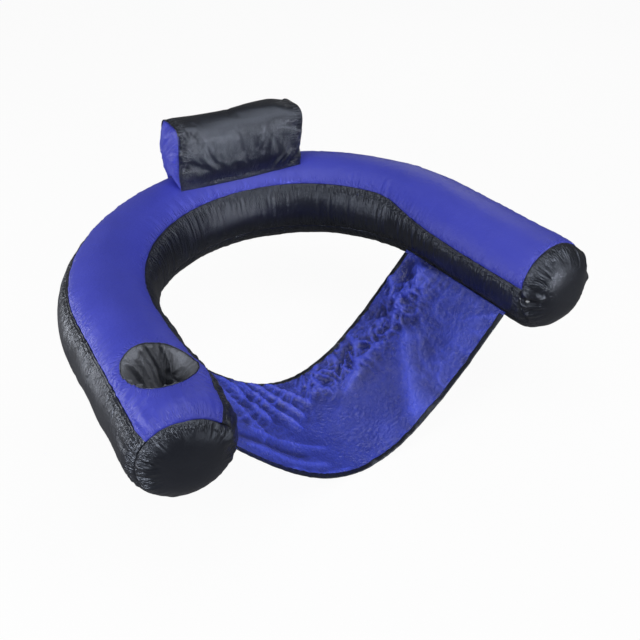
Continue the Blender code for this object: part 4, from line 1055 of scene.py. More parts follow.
film_end = arm_end + end_bulge * np.sin(np.radians(np.linspace(6, 84, 12)))
film_places = np.concatenate([-film_end[::-1], np.linspace(-arm_end, arm_end, 150), film_end])
film_s, film_turns = grid_of(film_places[::-1], full_turn(56))
valve_near = np.hypot(film_s - valve_place, (film_turns - math.pi / 2) * tube_radius)
film_lift = -film_inset + (film_inset - film_valve_inset) * np.exp(-((valve_near / 0.022) ** 4))
film_rings = tube_points(film_s * (1 - 0.006), film_turns, film_lift)
air_tube = give_thickness(sewn_object("air_tube_film", *closed_tube(film_rings)), film_wall)
cut_away(air_tube, plan_cutter("well_cut", 0.004, cup_floor_height - 0.008, 2 * tube_radius, 64))
cut_away(air_tube, valve_cutter("film_valve_cut", at_main_valve, film_hole_radius, (-0.03, 0.012), 32, flip=True))
finish_piece(air_tube, "film", film, "main_bladder")

well_depths, well_turns = grid_of(np.linspace(0.09, 1, 24), full_turn(72))
well_radius, well_height = cup_wall(well_turns, well_depths, 0.0)
well_rings = round_cup(well_radius + well_gap, well_turns, well_height - well_drop)
well_tip = (cup_centre[0], cup_centre[1], cup_floor_height - well_drop)
cup_well = give_thickness(sewn_object("cup_well_film", *closed_cap(well_rings, well_tip)), film_wall)
finish_piece(cup_well, "film", film, "cup_well")


# Sling: a blue nylon seat sewn along the arms' lower inner seams, so it hangs as a deep trough. It is creased from
# packing and from its own weight: soft ridges across the seat and a band of sharp crumples behind the middle.
sling_seam_lift = 0.0014
sling_front, sling_rear = arm_length, -0.005
sling_front_skew, sling_rear_skew = 0.014, 0.015
sling_front_sag, sling_rear_sag = 0.222, 0.206
sling_low_shift = 0.07
sling_thickness = 0.0007
sling_half_width, sling_depth = 0.40, 0.30
sling_columns, sling_rows = 340, 134
# Painted shade and painted highlight: the sling's colour is scaled by the first in its creases and by the second on
# its ridges.
sling_crease_painted_shade, sling_ridge_painted_highlight = 0.38, 1.50
# Ridges: points across and back along each, then height, half width and sharpness
sling_ridges = (
    (((0.99, 0.82), (0.87, 0.70), (0.76, 0.76), (0.66, 0.70)), 0.0110, 0.030, 1.0),
    (((0.96, 0.96), (0.90, 0.86), (0.84, 0.80)), -0.0090, 0.030, 1.6),
    (((0.84, 1.00), (0.78, 0.88), (0.70, 0.80)), 0.0060, 0.016, 1.0),
    (((0.68, 0.60), (0.55, 0.45), (0.42, 0.20), (0.30, 0.00)), 0.0100, 0.050, 1.2),
    (((-0.50, 1.00), (-0.34, 0.76), (-0.21, 0.56)), 0.0100, 0.020, 1.0),
    (((-0.62, 1.00), (-0.47, 0.72), (-0.30, 0.45)), 0.0095, 0.022, 1.0),
    (((-0.76, 1.00), (-0.62, 0.72), (-0.50, 0.50)), 0.0080, 0.020, 1.0),
    (((-0.88, 0.96), (-0.75, 0.60), (-0.66, 0.30)), 0.0070, 0.024, 1.0),
    (((-0.36, 1.00), (-0.20, 0.80), (-0.08, 0.66)), 0.0075, 0.018, 1.0),
    (((0.42, 1.00), (0.40, 0.84), (0.30, 0.66), (0.10, 0.60)), 0.0080, 0.018, 1.0),
    (((0.42, 0.90), (0.22, 0.82), (0.02, 0.78)), -0.0060, 0.020, 1.0),
    (((0.74, 0.76), (0.60, 0.66), (0.36, 0.70), (0.12, 0.66)), 0.0055, 0.030, 1.0),
    (((-0.92, 0.14), (-0.62, 0.10), (-0.28, 0.12)), 0.0080, 0.026, 1.0),
    (((-0.96, 0.24), (-0.70, 0.24), (-0.40, 0.20)), -0.0050, 0.022, 1.2),
    (((-0.80, 0.34), (-0.52, 0.32), (-0.20, 0.26)), 0.0055, 0.026, 1.0),
    (((-0.70, 0.04), (-0.44, 0.03), (-0.16, 0.06)), 0.0040, 0.014, 1.0),
)


def sling_point(across, back):
    """The smooth hanging seat: across runs from -1 at the right seam to 1 at the left, back from 0 to 1."""
    distance = sling_front + (sling_rear - sling_front) * back
    skew = sling_front_skew + (sling_rear_skew - sling_front_skew) * back
    seam_turn = np.full_like(distance, -bottom_seam_turn)
    lift = np.full_like(distance, sling_seam_lift)
    right = tube_points(-(arc_half_length + distance + skew), seam_turn, lift)
    left = tube_points(arc_half_length + distance - skew, seam_turn, lift)
    sag = sling_front_sag + (sling_rear_sag - sling_front_sag) * back
    drop = sag * np.cos(math.pi / 2 * (across + sling_low_shift * (1 - across * across)))
    point = right + (left - right) * ((across + 1) / 2)[..., None]
    point[..., 2] -= drop
    return point


def run_along(line):
    """Distance along a line of points, from its start to each of them."""
    return np.concatenate([[0], np.cumsum(np.linalg.norm(np.diff(line, axis=0), axis=1))])


def ridge(x, y, line, height, width, sharp):
    """One fold along a line of points, in metres on the cloth, dying away at its ends."""
    line = np.array(line) * (sling_half_width, sling_depth)
    best, share = np.full(x.shape, 9.0), np.zeros(x.shape)
    reach = run_along(line)
    for k in range(len(line) - 1):
        span = line[k + 1] - line[k]
        part = np.clip(((x - line[k, 0]) * span[0] + (y - line[k, 1]) * span[1]) / (span @ span), 0, 1)
        gap = np.hypot(x - line[k, 0] - span[0] * part, y - line[k, 1] - span[1] * part)
        nearer = gap < best
        share = np.where(nearer, (reach[k] + part * (reach[k + 1] - reach[k])) / reach[-1], share)
        best = np.minimum(gap, best)
    ends = fade(share, -0.01, 0.18) * fade(-share, -1.01, -0.80)
    return height * ends * np.exp(-((best / width) ** (1.1 if sharp <= 1 else 1.6)) * 2.2)


def patch(across, back, middle, size):
    """A soft-edged patch of the cloth, 1 in its middle."""
    return np.exp(-(((across - middle[0]) / size[0]) ** 2) - ((back - middle[1]) / size[1]) ** 2)


# Crumpled patches: how strong, then middle and size across and back
sling_crumples = (
    (1.0, (0.20, 0.84), (0.34, 0.14)),
    (0.9, (0.52, 0.74), (0.26, 0.13)),
    (0.7, (0.78, 0.72), (0.16, 0.16)),
    (1.0, (-0.50, 0.82), (0.36, 0.26)),
    (0.5, (-0.74, 0.45), (0.22, 0.35)),
)


def sling_folds(across, back):
    """Height of the creased cloth off the smooth seat."""
    x, y = across * sling_half_width, back * sling_depth
    seam_gap = 1 - np.abs(across)
    height = sum(ridge(x, y, *fold) for fold in sling_ridges)
    crumpled = sum(strength * patch(across, back, middle, size) for strength, middle, size in sling_crumples)
    lean, beside = x * 0.80 + y * 0.60, y * 0.80 - x * 0.60
    diagonal = creases(beside / 0.018 + 40, lean / 0.060 + 40, 401, 2)
    small = creases(x / 0.022 + 60, y / 0.022 + 60, 409, 3)
    height += np.clip(crumpled, 0, 1) * (0.0078 * np.where(across < 0, diagonal, small) + 0.0028 * small)
    height += 0.0020 * ripple(x / 0.06 + 20, y / 0.05 + 20, 419)
    height += 0.0008 * creases(x / 0.05 + 80, y / 0.04 + 80, 421, 2)
    height += 0.0024 * creases(x / 0.030 + 10, y / 0.05 + 10, 431, 3) * fade(across, 0.35, 0.60)
    uneven = 0.4 + 0.6 * fade(across, -0.2, 0.1) * fade(-across, -0.5, -0.2)
    height += 0.0030 * np.exp(-back / 0.040) * waver(x / 0.0085, 433) * uneven
    height += 0.0018 * np.exp(-(1 - back) / 0.04) * waver(x / 0.012, 439)
    kinks = ((0.71, 0.0050, back, 0.10), (0.50, 0.0045, back, 0.10), (0.30, 0.0055, 1 - back, 0.08))
    for place, depth, edge_gap, reach in kinks:
        height -= depth * np.exp(-np.abs(across - place) / 0.06 - edge_gap / reach)
    height += 0.0018 * np.exp(-seam_gap / 0.05) * waver(y / 0.008 + 50, 443)
    calm = 1 - (1 - fade(seam_gap, 0.02, 0.18)) * fade(back, 0.82, 0.98)
    calm *= 1 - 0.75 * (1 - fade(1 + across, 0.25, 0.50)) * fade(back, 0.88, 0.97)
    bound = 0.35 + 0.65 * fade(back, 0.0, 0.03) * fade(1 - back, 0.0, 0.03)
    return height * calm * fade(seam_gap, 0.0, 0.05) * bound


def grid_normals(points):
    """Directions square to a grid of points."""
    normal = np.cross(np.gradient(points, axis=0), np.gradient(points, axis=1))
    return normal / np.maximum(np.linalg.norm(normal, axis=-1, keepdims=True), 1e-12)


sling_across, sling_back = np.meshgrid(np.linspace(-1, 1, sling_columns), np.linspace(0, 1, sling_rows))
sling_smooth = sling_point(sling_across, sling_back)
sling_normal = -grid_normals(sling_smooth)
sling_height = sling_folds(sling_across, sling_back)
sling_surface = sling_smooth + sling_normal * sling_height[..., None]


def mean_height(height, steps):
    """The height averaged over the cloth round each point, wider with each step."""
    for _step in range(steps):
        edged = np.pad(height, 1, mode="edge")
        height = (edged[:-2, 1:-1] + edged[2:, 1:-1] + edged[1:-1, :-2] + edged[1:-1, 2:] + height) / 5
    return height


# Painted light map: how far the cloth stands above its near and its wide surroundings, 0 in the creases for painted
# shade and 1 on the ridges for painted highlight.
near_mean = mean_height(sling_height, 24)
far_mean = mean_height(near_mean, 220)
sling_crease = 0.5 + (sling_height - near_mean) / 0.0036 + (near_mean - far_mean) / 0.0090
sling_crease = np.clip(sling_crease, 0, 1)
sling_run = np.broadcast_to(run_along(sling_smooth[sling_rows // 2]), sling_across.shape)
sling_cloth = np.stack([sling_run, sling_back * 0.295], -1)
sling_dye, sling_light_dye = (0.053, 0.077, 0.540, 1), (0.077, 0.112, 0.730, 1)
sling_nylon = nylon("coated blue nylon with painted fold shade", sling_dye, sling_light_dye, 0.28, (0.016, 0.00150), (0.006, 0.0), 0.7)
sling_tree = sling_nylon.node_tree
# The sling's colour is scaled down in the creases (painted shade) and up on the ridges (painted highlight) by the
# folds map.
crease_map = add_node(sling_tree, "ShaderNodeUVMap", uv_map="folds").outputs[0]
crease_part = add_node(sling_tree, "ShaderNodeSeparateXYZ", {0: crease_map}).outputs[0]
crease_range = {"Value": crease_part, "To Min": sling_crease_painted_shade, "To Max": sling_ridge_painted_highlight}
crease_shade = add_node(sling_tree, "ShaderNodeMapRange", crease_range).outputs["Result"]
painted_fold_colours = {0: sling_tree.nodes["Group"].outputs["Colour"], "Scale": crease_shade}
painted_fold_colour = add_node(sling_tree, "ShaderNodeVectorMath", painted_fold_colours, operation="SCALE").outputs[0]
set_inputs(sling_tree.nodes["Principled BSDF"], {"Base Color": painted_fold_colour})
sling_faces = grid_quads(sling_rows, sling_columns)
sling_shades = np.stack([sling_crease, sling_crease], -1)
sling_seat = sewn_object("sling_seat", sling_surface, sling_faces, sling_cloth, folds=sling_shades)
give_thickness(sling_seat, sling_thickness, 0)
finish_piece(sling_seat, "blue_fabric", sling_nylon, "sling_panel")


# Sling bindings: black tape folded over the sling's front and rear edges and sewn through, slightly puckered.
binding_width = 0.0095
binding_half = 0.001125
binding_section = (
    (1.00, 0.75), (0.85, 0.95), (0.45, 1.0), (0.12, 0.95), (-0.04, 0.60),
    (-0.09, 0.0), (-0.04, -0.60), (0.12, -0.95), (0.45, -1.0), (0.85, -0.95),
    (1.00, -0.75), (0.97, -0.45), (0.50, -0.45), (0.50, 0.45), (0.97, 0.45),
)


def unit(vectors):
    """The same directions, each 1 long."""
    return vectors / np.linalg.norm(vectors, axis=1, keepdims=True)


def edge_binding(name, edge, inboard, seed, node):
    """A folded tape that runs along an edge of the sling."""
    ahead = unit(np.gradient(edge, axis=0))
    inwards = inboard - edge
    inwards = unit(inwards - ahead * np.sum(inwards * ahead, axis=1)[:, None])
    normal = np.cross(ahead, inwards)
    run = run_along(edge)
    width = (binding_width * (1 + 0.06 * waver(run / 0.012, seed)))[:, None]
    swell = (1 + 0.25 * waver(run / 0.006, seed + 1))[:, None]
    stations = [
        edge + inwards * width * reach + normal * binding_half * height * (swell if abs(height) > 0.5 else 1)
        for reach, height in binding_section
    ]
    sides = [math.dist(start, end) * 0.009 for start, end in zip(binding_section, binding_section[1:])]
    cloth = np.stack(np.broadcast_arrays(run[:, None], np.cumsum([0] + sides)[None, :]), -1)
    piece = sewn_object(name, np.stack(stations, 1), cut_tube(len(edge), len(binding_section)), cloth)
    return finish_piece(piece, "black_fabric", black_nylon, node)


near_front, near_rear = sling_surface[3, 3:-3], sling_surface[-4, 3:-3]
front_binding = edge_binding("front_edge_binding", sling_surface[0, 3:-3], near_front, 449, "sling_front_binding")
rear_binding = edge_binding("rear_edge_binding", sling_surface[-1, 3:-3], near_rear, 457, "sling_rear_binding")


# Hem tapes: black tape under the sling's side edges, where the arms' lower seams take its weight.
hem_width, hem_drop, hem_thickness = 0.012, 0.0011, 0.0006


def side_hem(name, columns, node):
    """A flat tape just under the sling, beside its seam."""
    steps = np.arange(4, sling_rows - 4)
    rows = (sling_surface - sling_normal * hem_drop)[steps][:, columns]
    share = np.linspace(0.0, 1.0, len(columns))
    cloth = np.stack(np.broadcast_arrays(steps[:, None] * 0.0024, share[None, :] * hem_width), -1)
    tape = sewn_object(name, rows, grid_quads(len(steps), len(columns)), cloth)
    give_thickness(tape, hem_thickness)
    return finish_piece(tape, "black_fabric", black_nylon, node)


right_hem = side_hem("right_sling_hem", np.arange(6)[::-1], "sling_right_hem_tape")
left_hem = side_hem("left_sling_hem", sling_columns - 1 - np.arange(6), "sling_left_hem_tape")


# Headrest: its own small bladder in a sewn cover that stands on the tube's back. One black nylon panel wraps the
# front, top and back, and a blue panel closes each end. It is blown up firm, so its faces crown and its seams draw in.
head_turn = math.radians(7.3)
head_half_width = 0.1385
head_front, head_back = arc_radius - 0.049, arc_radius + 0.042
head_front_curve = 0.62
head_front_shift = 0.010
head_band_height = 0.1205
head_top = 0.2245
head_lean = 0.006
head_squareness = 4.6
head_middle_squareness = 2.8
head_front_swell = 0.004
head_end_bulge = 0.009
head_columns, head_wrap_rows, head_base_rows, head_end_rings = 112, 132, 28, 18
head_zip_height = 0.10675
head_zip_reach = (-0.105, 0.045)
head_valve = 0.095
head_blown_limit, head_blown_frames = 0.007, 20
head_inset, head_foot_gap, head_base_gap, head_ring_step = 0.0012, 0.0003, 0.0012, 0.0032
head_film_inset, head_film_floor, head_film_hole_radius = 0.0110, 0.0975, 0.0135


def from_head_frame(points):
    """Turns points from the headrest's own directions to the chair's."""
    x, y = points[..., 0], points[..., 1]
    cosine, sine = math.cos(head_turn), math.sin(head_turn)
    return np.stack([x * cosine + y * sine, y * cosine - x * sine, points[..., 2]], -1)


def at_headrest_valve(points):
    """Turns points given across, out of and up from the middle of the headrest valve's hole to the chair's."""
    return from_head_frame(points + np.array((head_valve, head_back, head_zip_height)))


def tube_height_under(points):
    """Height of the tube's cloth below points of the headrest, given in its own directions."""
    plan = from_head_frame(points)
    turn = np.arctan2(plan[..., 0], plan[..., 1])
    aside = np.arcsin(np.clip((np.hypot(plan[..., 0], plan[..., 1]) - arc_radius) / tube_radius, -0.9, 0.9))
    lift = top_lift(turn * arc_radius, aside)
    return tube_radius * np.cos(aside) + lift / np.cos(aside)


def head_section(across, inset):
    """The outline of the wrap at a place across the headrest, from its front foot over the top to its back foot,
    then under it to the front. The top is highest left of the middle and slopes off at both ends."""
    nearness = max(math.cos(math.pi / 2 * across / head_half_width), 0.0) ** 0.8
    squareness = head_squareness + (head_middle_squareness - head_squareness) * nearness
    front = head_front - across**2 / (2 * head_front_curve) + inset - head_front_swell * nearness
    back = head_back - inset
    turns = np.linspace(0, math.pi, 241)
    sideways = np.sign(np.cos(turns)) * np.abs(np.cos(turns)) ** (2 / squareness)
    upward = np.abs(np.sin(turns)) ** (2 / squareness)
    top = head_top + 0.0035 * math.exp(-(((across - 0.05) / 0.06) ** 2))
    top -= 0.009 * fade(across, 0.09, 0.139) + 0.003 * fade(-across, 0.115, 0.139)
    y = (front + back) / 2 - (back - front) / 2 * sideways - head_lean * upward**2
    x = across + head_front_shift * (head_back - y) / (head_back - head_front) * upward
    z = head_band_height + (top - head_band_height - inset) * upward
    feet = np.array([[across, front, 0.0], [across, back, 0.0]])
    feet[:, 2] = tube_height_under(feet) + head_foot_gap
    line = np.concatenate([feet[:1], np.stack([x, y, z], -1), feet[1:]])
    run = run_along(line)
    places = np.linspace(0, run[-1], head_wrap_rows)
    wrap = np.stack([np.interp(places, run, line[:, k]) for k in range(3)], -1)
    under_y = np.linspace(back, front, head_base_rows + 2)[1:-1]
    under = np.stack([np.full_like(under_y, across), under_y, np.zeros_like(under_y)], -1)
    under[:, 2] = tube_height_under(under) + head_base_gap
    return np.concatenate([wrap, under]), run[-1]


head_across = head_half_width * np.sin(np.linspace(-1, 1, head_columns) * 1.25) / math.sin(1.25)
head_rings, head_runs = (np.array(values) for values in zip(*(head_section(x, head_inset) for x in head_across)))
head_runs = head_runs[:, None]
head_count = head_wrap_rows + head_base_rows
head_total = head_columns * head_count
parts = [head_rings.reshape(-1, 3)]
end_faces = {}
for side, edge in ((-1, head_rings[0]), (1, head_rings[-1])):
    middle = np.array([edge[0, 0], edge[:, 1].mean(), (edge[:, 2].max() + edge[:, 2].min()) / 2])
    bulge = np.array((side * head_end_bulge, 0, 0))
    shares = 1 - np.linspace(0, 1, head_end_rings + 1)[1:-1] ** 0.9
    base = sum(len(part) for part in parts)
    starts = [0 if side < 0 else head_total - head_count] + [base + k * head_count for k in range(len(shares))]
    parts += [middle + (edge - middle) * share + bulge * (1 - share**2.2) for share in shares] + [[middle + bulge]]
    faces = []
    for low, high in zip(starts, starts[1:]):
        for k in range(head_count):
            m = (k + 1) % head_count
            faces.append([low + k, low + m, high + m, high + k])
    faces += close_ring(starts[-1], head_count, base + len(shares) * head_count)
    end_faces[side] = faces if side < 0 else flipped(faces)
head_points = np.concatenate(parts)
head_faces = flipped(grid_quads(head_columns, head_count, ring=True).tolist()) + end_faces[-1] + end_faces[1]


def held_share(points):
    """How far the headrest's cloth is free to move: not at its foot, nor where the zip and the valve are sewn in."""
    foot = fade(points[:, 2] - tube_height_under(points), 0.002, 0.016)
    across = np.maximum(head_zip_reach[0] - points[:, 0], points[:, 0] - head_zip_reach[1])
    zip_gap = np.hypot(np.clip(across, 0, None), np.clip(np.abs(points[:, 2] - head_zip_height) - 0.010, 0, None))
    valve_gap = np.hypot(points[:, 0] - head_valve, points[:, 2] - head_zip_height)
    near_back = points[:, 1] > arc_radius
    free = np.minimum(fade(zip_gap, 0.002, 0.014), fade(valve_gap, 0.013, 0.024))
    return np.where(near_back, np.minimum(free, foot), foot)


head_free = held_share(head_points)
blown = head_points.copy()
inflated = sewn_object("headrest_inflating", head_points, head_faces)
seam_gap = np.full(len(head_points), 1.0)
seam_gap[:head_total] = np.repeat(head_half_width - np.abs(head_across), head_count)
for title, shares in (("held", 1 - head_free), ("seams", np.clip(1 - np.abs(seam_gap) / 0.010, 0, 1))):
    group = inflated.vertex_groups.new(name=title)
    for k in np.nonzero(shares > 0.001)[0]:
        group.add([int(k)], float(shares[k]), "REPLACE")
cloth = inflated.modifiers.new("air", "CLOTH")
cloth.settings.quality = 5
cloth.settings.mass = 0.1
cloth.settings.tension_stiffness = 15
cloth.settings.compression_stiffness = 15
cloth.settings.shear_stiffness = 7
cloth.settings.bending_stiffness = 0.3
cloth.settings.use_pressure = True
cloth.settings.uniform_pressure_force = 4
cloth.settings.vertex_group_mass = "held"
cloth.settings.vertex_group_shrink = "seams"
cloth.settings.shrink_min = 0.0
cloth.settings.shrink_max = 0.012
cloth.settings.effector_weights.gravity = 0
cloth.collision_settings.use_collision = False
cloth.point_cache.frame_start = 1
cloth.point_cache.frame_end = head_blown_frames
scene.frame_start, scene.frame_end = 1, head_blown_frames
for frame_number in range(1, head_blown_frames + 1):
    scene.frame_set(frame_number)
set_modifiers(inflated)
flat = np.empty(len(head_points) * 3, np.float32)
inflated.data.vertices.foreach_get("co", flat)
blown = flat.reshape(-1, 3).astype(float)
bpy.data.objects.remove(inflated)
scene.frame_set(1)
move = blown - head_points
reach = np.linalg.norm(move, axis=1, keepdims=True)
move *= np.minimum(1, head_blown_limit / np.maximum(reach, 1e-9)) * head_free[:, None]
head_points = head_points + move

head_grid = head_points[:head_total].reshape(head_columns, head_count, 3)
wrap_grid = head_grid[:, :head_wrap_rows]
wrap_run = np.linspace(0, 1, head_wrap_rows)[None, :] * head_runs
wrap_across = np.broadcast_to(head_across[:, None], wrap_run.shape)
wrap_free = head_free[:head_total].reshape(head_columns, head_count)[:, :head_wrap_rows]
end_gap = head_half_width - np.abs(wrap_across)
front_share = fade(-wrap_run, -0.16, -0.11)
wrap_lift = seam_puckers(wrap_run, end_gap, 503, 0.010, 0.0018, 0.0085) * np.where(wrap_across < 0, 1.3, 0.8)
wrap_lift -= 0.0016 * np.exp(-end_gap / 0.006)
corner = np.exp(-(((wrap_across + 0.112) / 0.030) ** 2) - ((wrap_run - 0.120) / 0.036) ** 2)
wrap_lift += 0.0050 * corner * creases(wrap_across / 0.020 + 15, wrap_run / 0.020 + 15, 509, 3)
lower = np.exp(-(((wrap_across - 0.108) / 0.036) ** 2) - ((wrap_run - 0.020) / 0.026) ** 2)
slant = wrap_across * 0.88 - wrap_run * 0.47
wrap_lift += 0.0046 * lower * waver(slant / 0.0062 + 0.5 * waver(wrap_run / 0.02, 5), 521)
wrap_lift += 0.0012 * front_share * creases(wrap_across / 0.050 + 30, wrap_run / 0.045 + 30, 523, 3)
wrap_lift += 0.0010 * ripple(wrap_across / 0.05 + 50, wrap_run / 0.05 + 50, 541)
foot_gap = np.minimum(wrap_run, head_runs - wrap_run)
wrap_lift += seam_puckers(wrap_across, foot_gap, 547, 0.007, 0.0008, 0.0080)
wrap_grid = wrap_grid - grid_normals(wrap_grid) * (wrap_lift * fade(foot_gap, 0.0, 0.004) * wrap_free)[..., None]
wrap_cloth, wrap_seams = np.stack([wrap_across, wrap_run], -1), np.stack([foot_gap, np.zeros_like(foot_gap)], -1)
wrap_faces, wrap_edge = grid_quads(head_columns, head_wrap_rows)[:, ::-1], np.stack([end_gap, wrap_run], -1)
wrap_points = from_head_frame(wrap_grid)
head_wrap = sewn_object("headrest_wrap_cloth", wrap_points, wrap_faces, wrap_cloth, wrap_seams, wrap_edge)
give_thickness(head_wrap)
head_slot_half_depth = 0.006
head_slot_places = (head_zip_reach[0] - zip_slot_spare, head_zip_reach[1] + zip_slot_spare)
head_slot = [
    [
        (x, head_back + out * head_slot_half_depth, head_zip_height + h * zip_slot_half_height)
        for out, h in slot_section
    ]
    for x in head_slot_places
]
cut_away(head_wrap, cutter_through("head_zip_cut", from_head_frame(np.array(head_slot)), flip=True))
cut_away(head_wrap, valve_cutter("head_valve_cut", at_headrest_valve, valve_hole_radius, (-0.006, 0.006)))
finish_piece(head_wrap, "black_fabric", black_nylon, "headrest_wrap_panel")

head_ends = ((-1, "headrest_right_end", "headrest_right_panel"), (1, "headrest_left_end", "headrest_left_panel"))
for side, name, node in head_ends:
    used = np.unique(np.concatenate([np.ravel(face) for face in end_faces[side]]))
    faces = [np.searchsorted(used, face).tolist() for face in end_faces[side]]
    points = head_points[used]
    aside = points[:, 1:] - points[:, 1:].mean(0)
    rings_of = np.where(used < head_total, 0, 1 + (used - used[head_count]) // head_count)
    edge_gap = np.minimum(rings_of, head_end_rings) * head_ring_step
    around = np.arctan2(aside[:, 1], aside[:, 0]) * 0.07
    clear, tall = fade(edge_gap, 0.002, 0.010), fade(points[:, 2], 0.10, 0.20)
    lift = seam_puckers(around, edge_gap, 557 + side, 0.010, 0.0014, 0.0090) - 0.0010 * np.exp(-edge_gap / 0.006)
    lift += 0.0026 * tall * clear * waver((aside[:, 0] * 0.72 + aside[:, 1] * 0.70) / 0.0085 + 7, 563)
    lift += 0.0020 * clear * creases(aside[:, 0] / 0.03 + 5, aside[:, 1] / 0.05 + 5, 569, 2)
    points[:, 0] += side * (lift - 0.0004)
    edge = np.stack([edge_gap, around], -1)
    end = give_thickness(sewn_object(name, from_head_frame(points), faces, aside, edge=edge))
    finish_piece(end, "blue_fabric", blue_nylon, node)

base_grid = head_grid[2:-2, head_wrap_rows - 1 :][:, 2:-2].copy()
base_grid[..., 2] += head_base_gap
base_points, base_faces = from_head_frame(base_grid), grid_quads(*base_grid.shape[:2])
head_base = give_thickness(sewn_object("headrest_base_cloth", base_points, base_faces, base_grid[..., :2]))
finish_piece(head_base, "black_fabric", black_nylon, "headrest_base_panel")

air_places = head_half_width * 0.93 * np.sin(np.linspace(-1, 1, 26) * 1.4) / math.sin(1.4)
air_rings = []
for x in air_places:
    section = head_section(x, head_film_inset)[0][::4]
    middle = section.mean(0)
    draw = 1 - 0.10 * (abs(x) / head_half_width) ** 6
    section = middle + (section - middle) * (1, draw, draw)
    section[:, 2] = np.maximum(section[:, 2], head_film_floor)
    air_rings.append(section)
air_points, air_faces = closed_tube(np.array(air_rings))
head_air = give_thickness(sewn_object("headrest_film", from_head_frame(air_points), air_faces), film_wall)
cut_away(head_air, valve_cutter("head_film_cut", at_headrest_valve, head_film_hole_radius, (-0.022, 0.006)))
finish_piece(head_air, "film", film, "headrest_bladder")


# Zips: one across the outside of the back and one in the headrest's back, for the bladders. Each is two woven
# black tapes with a moulded nylon coil along each, a stop at each end, and an enamelled slider with a flat tab.
tooth_pitch = 0.0015
tooth_thickness = 0.00085
tooth_inner, tooth_outer = 0.00038, 0.0031
tooth_stand_off = 0.0003
tooth_depth = 0.00095


def moulded_finish(name, dark, light, roughness, scale, depth, metallic=0.0):
    """A hard finish with a fine grain and slightly rubbed colour."""
    finish, tree, shader = new_finish(name)
    place = add_node(tree, "ShaderNodeTexCoord").outputs["Object"]
    grain = add_node(tree, "ShaderNodeTexNoise", {"Vector": place, "Scale": scale, "Detail": 5}).outputs["Fac"]
    rub = add_node(tree, "ShaderNodeTexNoise", {"Vector": place, "Scale": scale / 9, "Detail": 3}).outputs["Fac"]
    colour = add_node(tree, "ShaderNodeMix", {"Factor": rub, "A": dark, "B": light}, data_type="RGBA")
    levels = {"Value": rub, "To Min": roughness - 0.08, "To Max": roughness + 0.12}
    rough = add_node(tree, "ShaderNodeMapRange", levels).outputs["Result"]
    bump = add_node(tree, "ShaderNodeBump", {"Distance": depth, "Height": grain}).outputs[0]
    shades = {"Base Color": colour.outputs["Result"], "Roughness": rough, "Normal": bump, "Metallic": metallic}
    set_inputs(shader, shades)
    return finish


def woven_tape_finish():
    """Ribbed tape: crosswise ribs with fine threads between them."""
    finish, tree, shader = new_finish("woven zip tape")
    place = add_node(tree, "ShaderNodeTexCoord").outputs["Object"]
    rib = {"Vector": place, "Scale": 260, "Distortion": 0.6}
    ribs = add_node(tree, "ShaderNodeTexWave", rib, bands_direction="Z").outputs["Fac"]
    threads = add_node(tree, "ShaderNodeTexVoronoi", {"Vector": place, "Scale": 2200}).outputs["Distance"]
    weave = add_node(tree, "ShaderNodeMath", {0: threads, 1: 0.5, 2: ribs}, operation="MULTIPLY_ADD").outputs[0]
    tones = {"Factor": weave, "A": (0.010, 0.010, 0.012, 1), "B": (0.034, 0.034, 0.040, 1)}
    colour = add_node(tree, "ShaderNodeMix", tones, data_type="RGBA").outputs["Result"]
    bump = add_node(tree, "ShaderNodeBump", {"Distance": 0.0001, "Height": weave}).outputs[0]
    set_inputs(shader, {"Base Color": colour, "Normal": bump, "Roughness": 0.72})
    return finish


coil_dark, coil_light = (0.010, 0.010, 0.012, 1), (0.030, 0.030, 0.034, 1)
enamel_dark, enamel_light = (0.012, 0.012, 0.014, 1), (0.040, 0.041, 0.046, 1)
coil_nylon = moulded_finish("moulded coil nylon", coil_dark, coil_light, 0.38, 4000, 0.00003)
zip_tape = woven_tape_finish()
enamel = moulded_finish("black enamelled metal", enamel_dark, enamel_light, 0.30, 2600, 0.00002, 0.6)
zip_coil = beads_tree("zip coil", 8, 5, 0)
tooth_middle = (tooth_inner + tooth_outer) / 2
tooth_size = (tooth_thickness, tooth_depth, tooth_outer - tooth_inner)
stand = tooth_stand_off + tooth_depth / 2
coil_half_turn, coil_end_gap = math.radians(21.3), 0.0068


def coil_piece(zip_name, level_name, line):
    """One half's coil, its teeth set along a line."""
    name, node = f"{zip_name}_{level_name}_coil", f"{zip_name}_zip_{level_name}_coil"
    return beaded_piece(name, [line], zip_coil, tooth_pitch, tooth_size, coil_nylon, "coil", node)


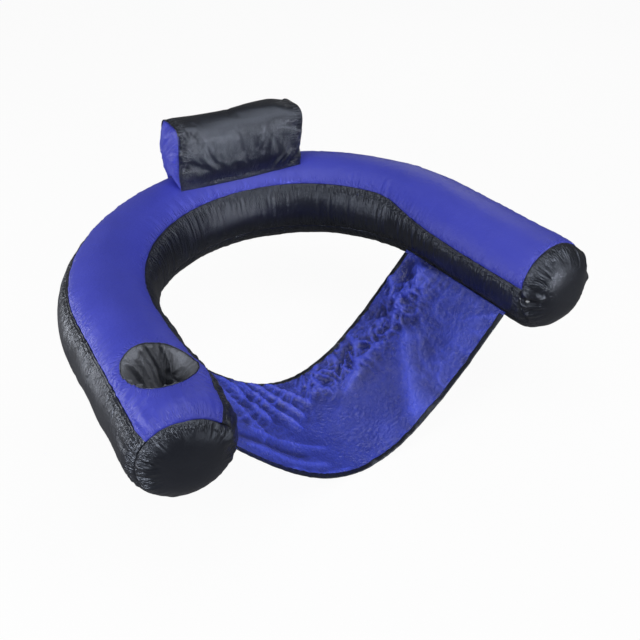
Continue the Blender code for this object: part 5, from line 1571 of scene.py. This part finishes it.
for side, level_name in ((1, "upper"), (-1, "lower")):
    shift = 0.25 * side * tooth_pitch
    turns = np.linspace(-coil_half_turn, coil_half_turn, 200) + shift / (arc_radius + zip_flat)
    plan = np.stack([np.sin(turns), np.cos(turns)], -1) * (arc_radius + zip_flat + stand)
    coil_piece("main", level_name, np.column_stack([plan, np.full(200, side * tooth_middle)]))
    places = np.linspace(head_zip_reach[0] + coil_end_gap, head_zip_reach[1] - coil_end_gap, 60) + shift
    line = np.stack([places, np.full(60, head_back + stand), np.full(60, head_zip_height + side * tooth_middle)], -1)
    coil_piece("headrest", level_name, from_head_frame(line))
for node_name, node_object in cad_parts.items():
    if node_name.endswith("_tape") and "_zip_" in node_name:
        node_object.data.materials[0] = zip_tape
    if node_name.endswith("_stop"):
        node_object.data.materials[0] = coil_nylon
    if node_name.endswith(("zip_slider", "zip_pull_tab")):
        node_object.data.materials[0] = enamel


# Air valves: soft white vinyl, one in the tube's left shoulder and one in the headrest's back. The stem pushes in
# flush, the plug closes it, and the cover's hole round it is oversewn with black thread.
oversewn_stitches, oversewn_sides = 300, 10
oversewn_reach, oversewn_half_width, oversewn_thickness, oversewn_stand = 0.0108, 0.0019, 0.0005, 0.0008
main_valve_sink = zip_flat - 0.0898
vinyl_dark, vinyl_light = (0.62, 0.63, 0.64, 1), (0.74, 0.75, 0.75, 1)


def oversewn_ring(name, to_chair, sink, node):
    """Closely set radial stitches round the hole, over a thin ring of tape."""
    turns, sections = grid_of(full_turn(oversewn_stitches), full_turn(oversewn_sides))
    reach = oversewn_reach + oversewn_half_width * np.cos(sections) * (1 + 0.05 * waver(turns * 30, 577))
    out = oversewn_stand - sink + oversewn_thickness * np.sin(sections) * (1 + 0.30 * np.sin(turns * 64))
    points = np.stack([reach * np.cos(turns), out, reach * np.sin(turns)], -1)
    faces = grid_quads(oversewn_stitches, oversewn_sides, ring=True, loop=True)
    ring = sewn_object(name, to_chair(points), faces)
    return finish_piece(ring, "black_fabric", black_thread, node)


white_vinyl = moulded_finish("white valve vinyl", vinyl_dark, vinyl_light, 0.36, 900, 0.00004)
oversewn_ring("main_valve_stitching", at_main_valve, main_valve_sink, "main_valve_eyelet")
oversewn_ring("headrest_valve_stitching", at_headrest_valve, 0.0, "headrest_valve_eyelet")
for node_name, node_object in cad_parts.items():
    if node_name.endswith(("valve_stem", "valve_plug")):
        node_object.data.materials[0] = white_vinyl
    if node_name.endswith("valve_base"):
        node_object.data.materials[0] = film
